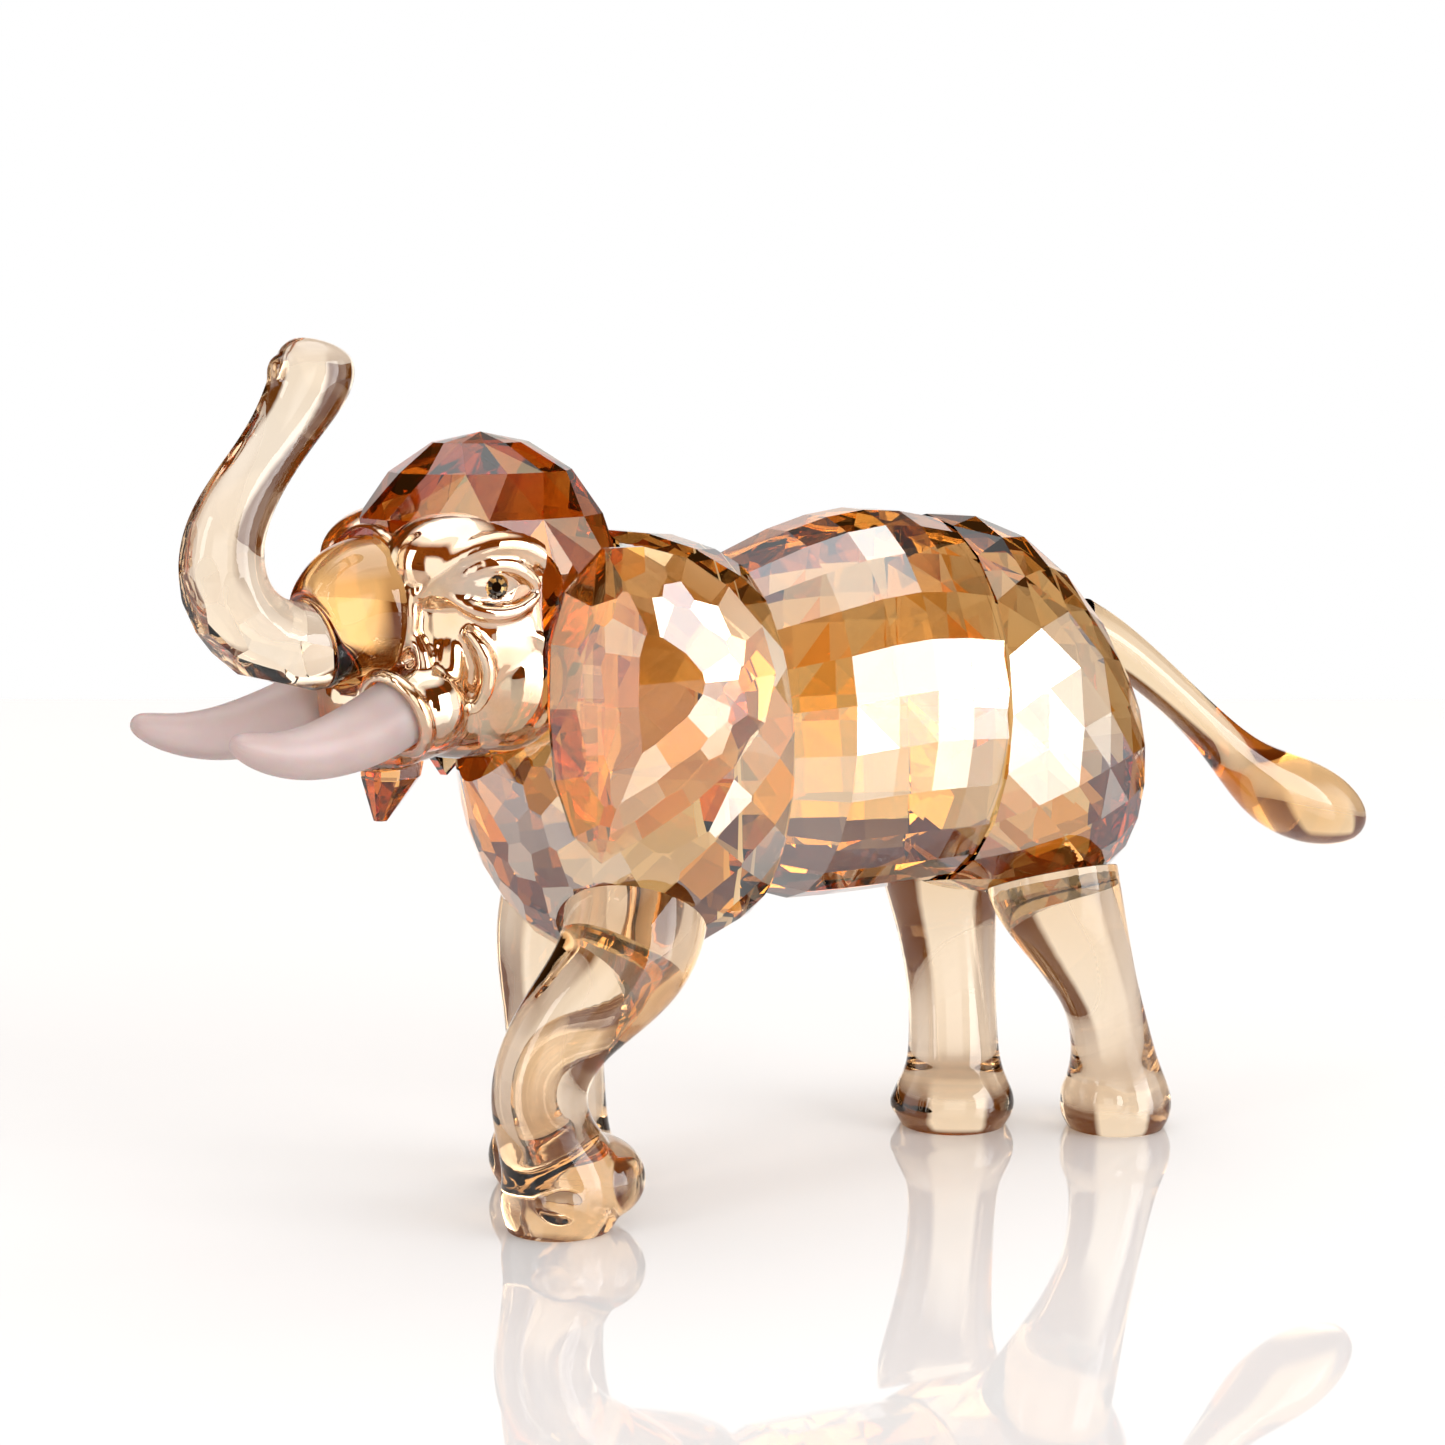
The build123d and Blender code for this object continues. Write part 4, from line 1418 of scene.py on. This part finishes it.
@dataclass
class Bonds:
    """The clear adhesive films, each a rounded-edged disc that fills most of its gap.

    The rim is the share of the thickness that is rounded.
    """

    gap: float = 0.1
    thickness: float = 0.06
    shrink: float = 0.15
    rim: float = 0.3
    neck_middle: Triple = (-86.5, 0.0, 85.5)
    neck_radius: float = 16.0
    shoulder_middle: Triple = (-58.25, 0.0, 69.6)
    shoulder_radius: float = 19.0
    loin_middle: Triple = (-21.85, 0.0, 70.8)
    loin_radius: float = 22.0
    tusk_radius: float = 4.9
    ear_height: float = 91.0
    ear_back: float = 6.0
    ear_radius: float = 4.0
    jaw_middle: Triple = (-34.8, 0.0, 68.6)
    jaw_radius: float = 4.25

    def films(self) -> dict[str, list[Film]]:
        """Every film by the name of its node."""
        into_head = Vector(NECK.normal).normalized()
        neck = Vector(self.neck_middle) - into_head * self.gap / 2
        legs = [Film(shape.seat, tuple(-part for part in shape.inward), shape.seat_radius)
                for shape in Legs().shapes.values()]
        trunk, tail, head = Trunk(), Tail(), Head()
        tusks = []
        for side in SIDES:
            way = head.tusk_way(side)
            root = mirrored(head.tusk_root, side)
            tusks.append(Film(tuple(root - way * self.gap), tuple(way), self.tusk_radius,
                              HEAD_LAYOUT))
        return {
            "body_bonds": [
                Film(tuple(neck), tuple(into_head), self.neck_radius),
                Film(self.shoulder_middle, SHOULDER.normal, self.shoulder_radius),
                Film(self.loin_middle, LOIN.normal, self.loin_radius)],
            "leg_bonds": legs,
            "trunk_bonds": [
                Film(trunk.seat, (-1.0, 0.0, 0.0), trunk.seat_radius, HEAD_LAYOUT),
                Film(trunk.joint, trunk.joint_way, trunk.joint_radius, HEAD_LAYOUT)],
            "tusk_bonds": tusks,
            "ear_bonds": [self.ear_film(side) for side in SIDES],
            "jaw_bond": [Film(self.jaw_middle, (0.0, 0.0, 1.0), self.jaw_radius, HEAD_LAYOUT)],
            "tail_bond": [Film(tail.seat, tail.outward, tail.seat_radius)],
        }

    def ear_film(self, side: float) -> Film:
        """The film behind one ear, on the flared back of the ear."""
        head = Head()
        along, outward = head.ear_ways(side)
        hinge = mirrored((*head.ear_hinge[:2], self.ear_height), side)
        seat = hinge + along * self.ear_back - outward * self.gap
        return Film(tuple(seat), tuple(outward), self.ear_radius, HEAD_LAYOUT)

    def model(self, film: Film) -> bpy.types.Object:
        """One disc with a rounded rim."""
        deselect()
        way = film.layout.heading(film.way)
        middle = film.layout.spot(film.seat) + way * self.gap * MM / 2
        bpy.ops.mesh.primitive_cylinder_add(vertices=72, radius=(film.radius - self.shrink) * MM,
                                            depth=self.thickness * MM, location=middle,
                                            rotation=aim(way))
        disc = newest("film")
        settle(disc)
        apply_modifier(disc, "BEVEL", width=self.thickness * MM * self.rim, segments=2)
        return disc

    def build(self, palette: Palette) -> None:
        """Models, dresses and reports the films of each node."""
        for node, films in self.films().items():
            piece = join([self.model(film) for film in films], f"{node}_clear")
            palette.place(piece, node, Finish.ADHESIVE, f"{len(films)} adhesive films")


# ---- table, light and camera -------------------------------------------------------------
@dataclass
class Studio:
    """A white glossy table in soft light, and the camera."""

    table_half: float = 0.58
    table_thick: float = 0.02
    table_gap: float = 0.00005
    camera_place: Triple = (-0.25323, -0.41311, 0.13195)
    camera_turn: float = -30.0
    camera_pitch: float = 7.5
    lens: float = 80.0
    sensor: float = 36.0
    table_rim: float = 0.002
    table_whites: tuple[Triple, Triple] = ((0.85, 0.82, 0.81), (0.85, 0.835, 0.825))
    table_cloud: float = 6.0
    table_grain: float = 40.0
    table_roughness: float = 0.02
    table_unevenness: float = 0.01
    table_ior: float = 2.0
    panel_count: float = 4.0
    panel_range: Pair = (-0.1, 0.3)
    wall_top: Pair = (0.34, 0.5)
    ceiling: Pair = (0.74, 0.88)
    ahead_range: Pair = (0.2, 0.75)
    panel_white: Triple = (1.8, 1.77, 1.72)
    ahead_white: Triple = (1.04, 1.02, 1.0)
    warm_dark: Triple = (0.15, 0.05, 0.01)
    soft_white: Triple = (0.84, 0.83, 0.825)
    aim_height: float = 0.06
    bounces: int = 24

    def build_table(self) -> None:
        """The table top, with its top face a hair under the soles."""
        deselect()
        size = self.table_half * 2
        middle = -self.table_thick / 2 - self.table_gap
        bpy.ops.mesh.primitive_cube_add(size=1.0, location=(0.0, 0.0, middle))
        table = newest("table_top")
        table.scale = (size, size, self.table_thick)
        table.rotation_euler = (0.0, 0.0, math.radians(self.camera_turn))
        settle(table)
        apply_modifier(table, "BEVEL", width=self.table_rim, segments=3)
        material, recipe, place = start_material("white_table")
        cloud = recipe.noise(place, self.table_cloud)
        base = recipe.mix(cloud, *(colour(*white) for white in self.table_whites))
        grain = recipe.noise(place, self.table_grain)
        surface = recipe.principled({
            "Base Color": base,
            "Roughness": self.table_roughness + grain * self.table_unevenness,
            "IOR": self.table_ior,
        })
        recipe.output(Surface=surface)
        table.data.materials.append(material)

    def build_world(self) -> None:
        """A white room for the eye, and bright panels over warm dark for what the glass shows.

        The panels stand round the figure up to wall_top, and the ceiling is bright again.
        """
        world = bpy.data.worlds.new("studio")
        bpy.context.scene.world = world
        world.use_nodes = True
        recipe = Recipe(world.node_tree)
        way = recipe.node("ShaderNodeTexCoord", out="Generated")
        along, deep, up = recipe.axes(way)
        turn = math.radians(self.camera_turn)
        ahead = along * -math.sin(turn) + deep * math.cos(turn)
        aside = along * math.cos(turn) + deep * math.sin(turn)
        bearing = recipe.node("ShaderNodeMath", {"operation": "ARCTAN2"}, {0: aside, 1: ahead})
        panels = recipe.node("ShaderNodeMath", {"operation": "COSINE"}, {0: bearing * self.panel_count})
        wall = panels.rising(*self.panel_range) * (1.0 - up.rising(*self.wall_top))
        overhead = up.rising(*self.ceiling)
        light = (wall + overhead).limited()
        facing = ahead.rising(*self.ahead_range) * (1.0 - overhead)
        lit = recipe.mix(facing, colour(*self.panel_white), colour(*self.ahead_white))
        room = recipe.mix(light, colour(*self.warm_dark), lit)
        soft = recipe.node("ShaderNodeLightPath", out="Is Diffuse Ray")
        room = recipe.mix(soft, room, colour(*self.soft_white))
        seen = recipe.node("ShaderNodeLightPath", out="Is Camera Ray")
        sky = recipe.mix(seen, room, colour(1.0, 1.0, 1.0))
        glow = recipe.node("ShaderNodeBackground", None, {"Color": sky, "Strength": 1.0})
        recipe.node("ShaderNodeOutputWorld", None, {"Surface": glow})

    def add_softbox(self, name: str, place: Triple,
                    size: tuple[float, float], watts: float) -> None:
        """One rectangular softbox that faces the figure."""
        light = bpy.data.lights.new(name, "AREA")
        light.shape = "RECTANGLE"
        light.size = size[0]
        light.size_y = size[1]
        light.energy = watts
        lamp = bpy.data.objects.new(name, light)
        bpy.context.scene.collection.objects.link(lamp)
        lamp.location = place
        lamp.visible_camera = False
        target = Vector((0.0, 0.0, self.aim_height))
        lamp.rotation_euler = (target - Vector(place)).to_track_quat("-Z", "Y").to_euler()

    def build_lights(self) -> None:
        """Softboxes: right front, overhead and a strip at the left."""
        self.add_softbox("front_softbox", (0.62, -1.05, 0.25), (0.8, 1.0), 15.0)
        self.add_softbox("top_softbox", (0.0, 0.1, 1.2), (1.0, 1.0), 3.0)
        self.add_softbox("left_strip", (-1.2, -0.2, 0.4), (0.25, 1.0), 3.0)

    def build_camera(self) -> None:
        """The camera, level with the figure's back and looking slightly down."""
        data = bpy.data.cameras.new("camera")
        data.lens = self.lens
        data.sensor_width = self.sensor
        camera = bpy.data.objects.new("camera", data)
        bpy.context.scene.collection.objects.link(camera)
        camera.location = self.camera_place
        camera.rotation_euler = (math.radians(90.0 - self.camera_pitch), 0.0,
                                 math.radians(self.camera_turn))
        bpy.context.scene.camera = camera

    def build(self) -> None:
        """Builds the whole studio."""
        self.build_table()
        self.build_world()
        self.build_lights()
        self.build_camera()
        scene = bpy.context.scene
        scene.view_settings.view_transform = "Standard"
        scene.cycles.max_bounces = self.bounces
        scene.cycles.transmission_bounces = self.bounces
        scene.cycles.transparent_max_bounces = self.bounces


def main() -> None:
    """Builds the figure and the studio in order."""
    logging.basicConfig(level=logging.INFO, format="%(message)s")
    palette = Palette()
    Studio().build()
    CutStones().dress(palette)
    Legs().build(palette)
    Tail().build(palette)
    Trunk().build(palette)
    Tusks().build(palette)
    Head().build(palette)
    Eyes().build(palette)
    Bonds().build(palette)


if __name__ == "__main__":
    main()
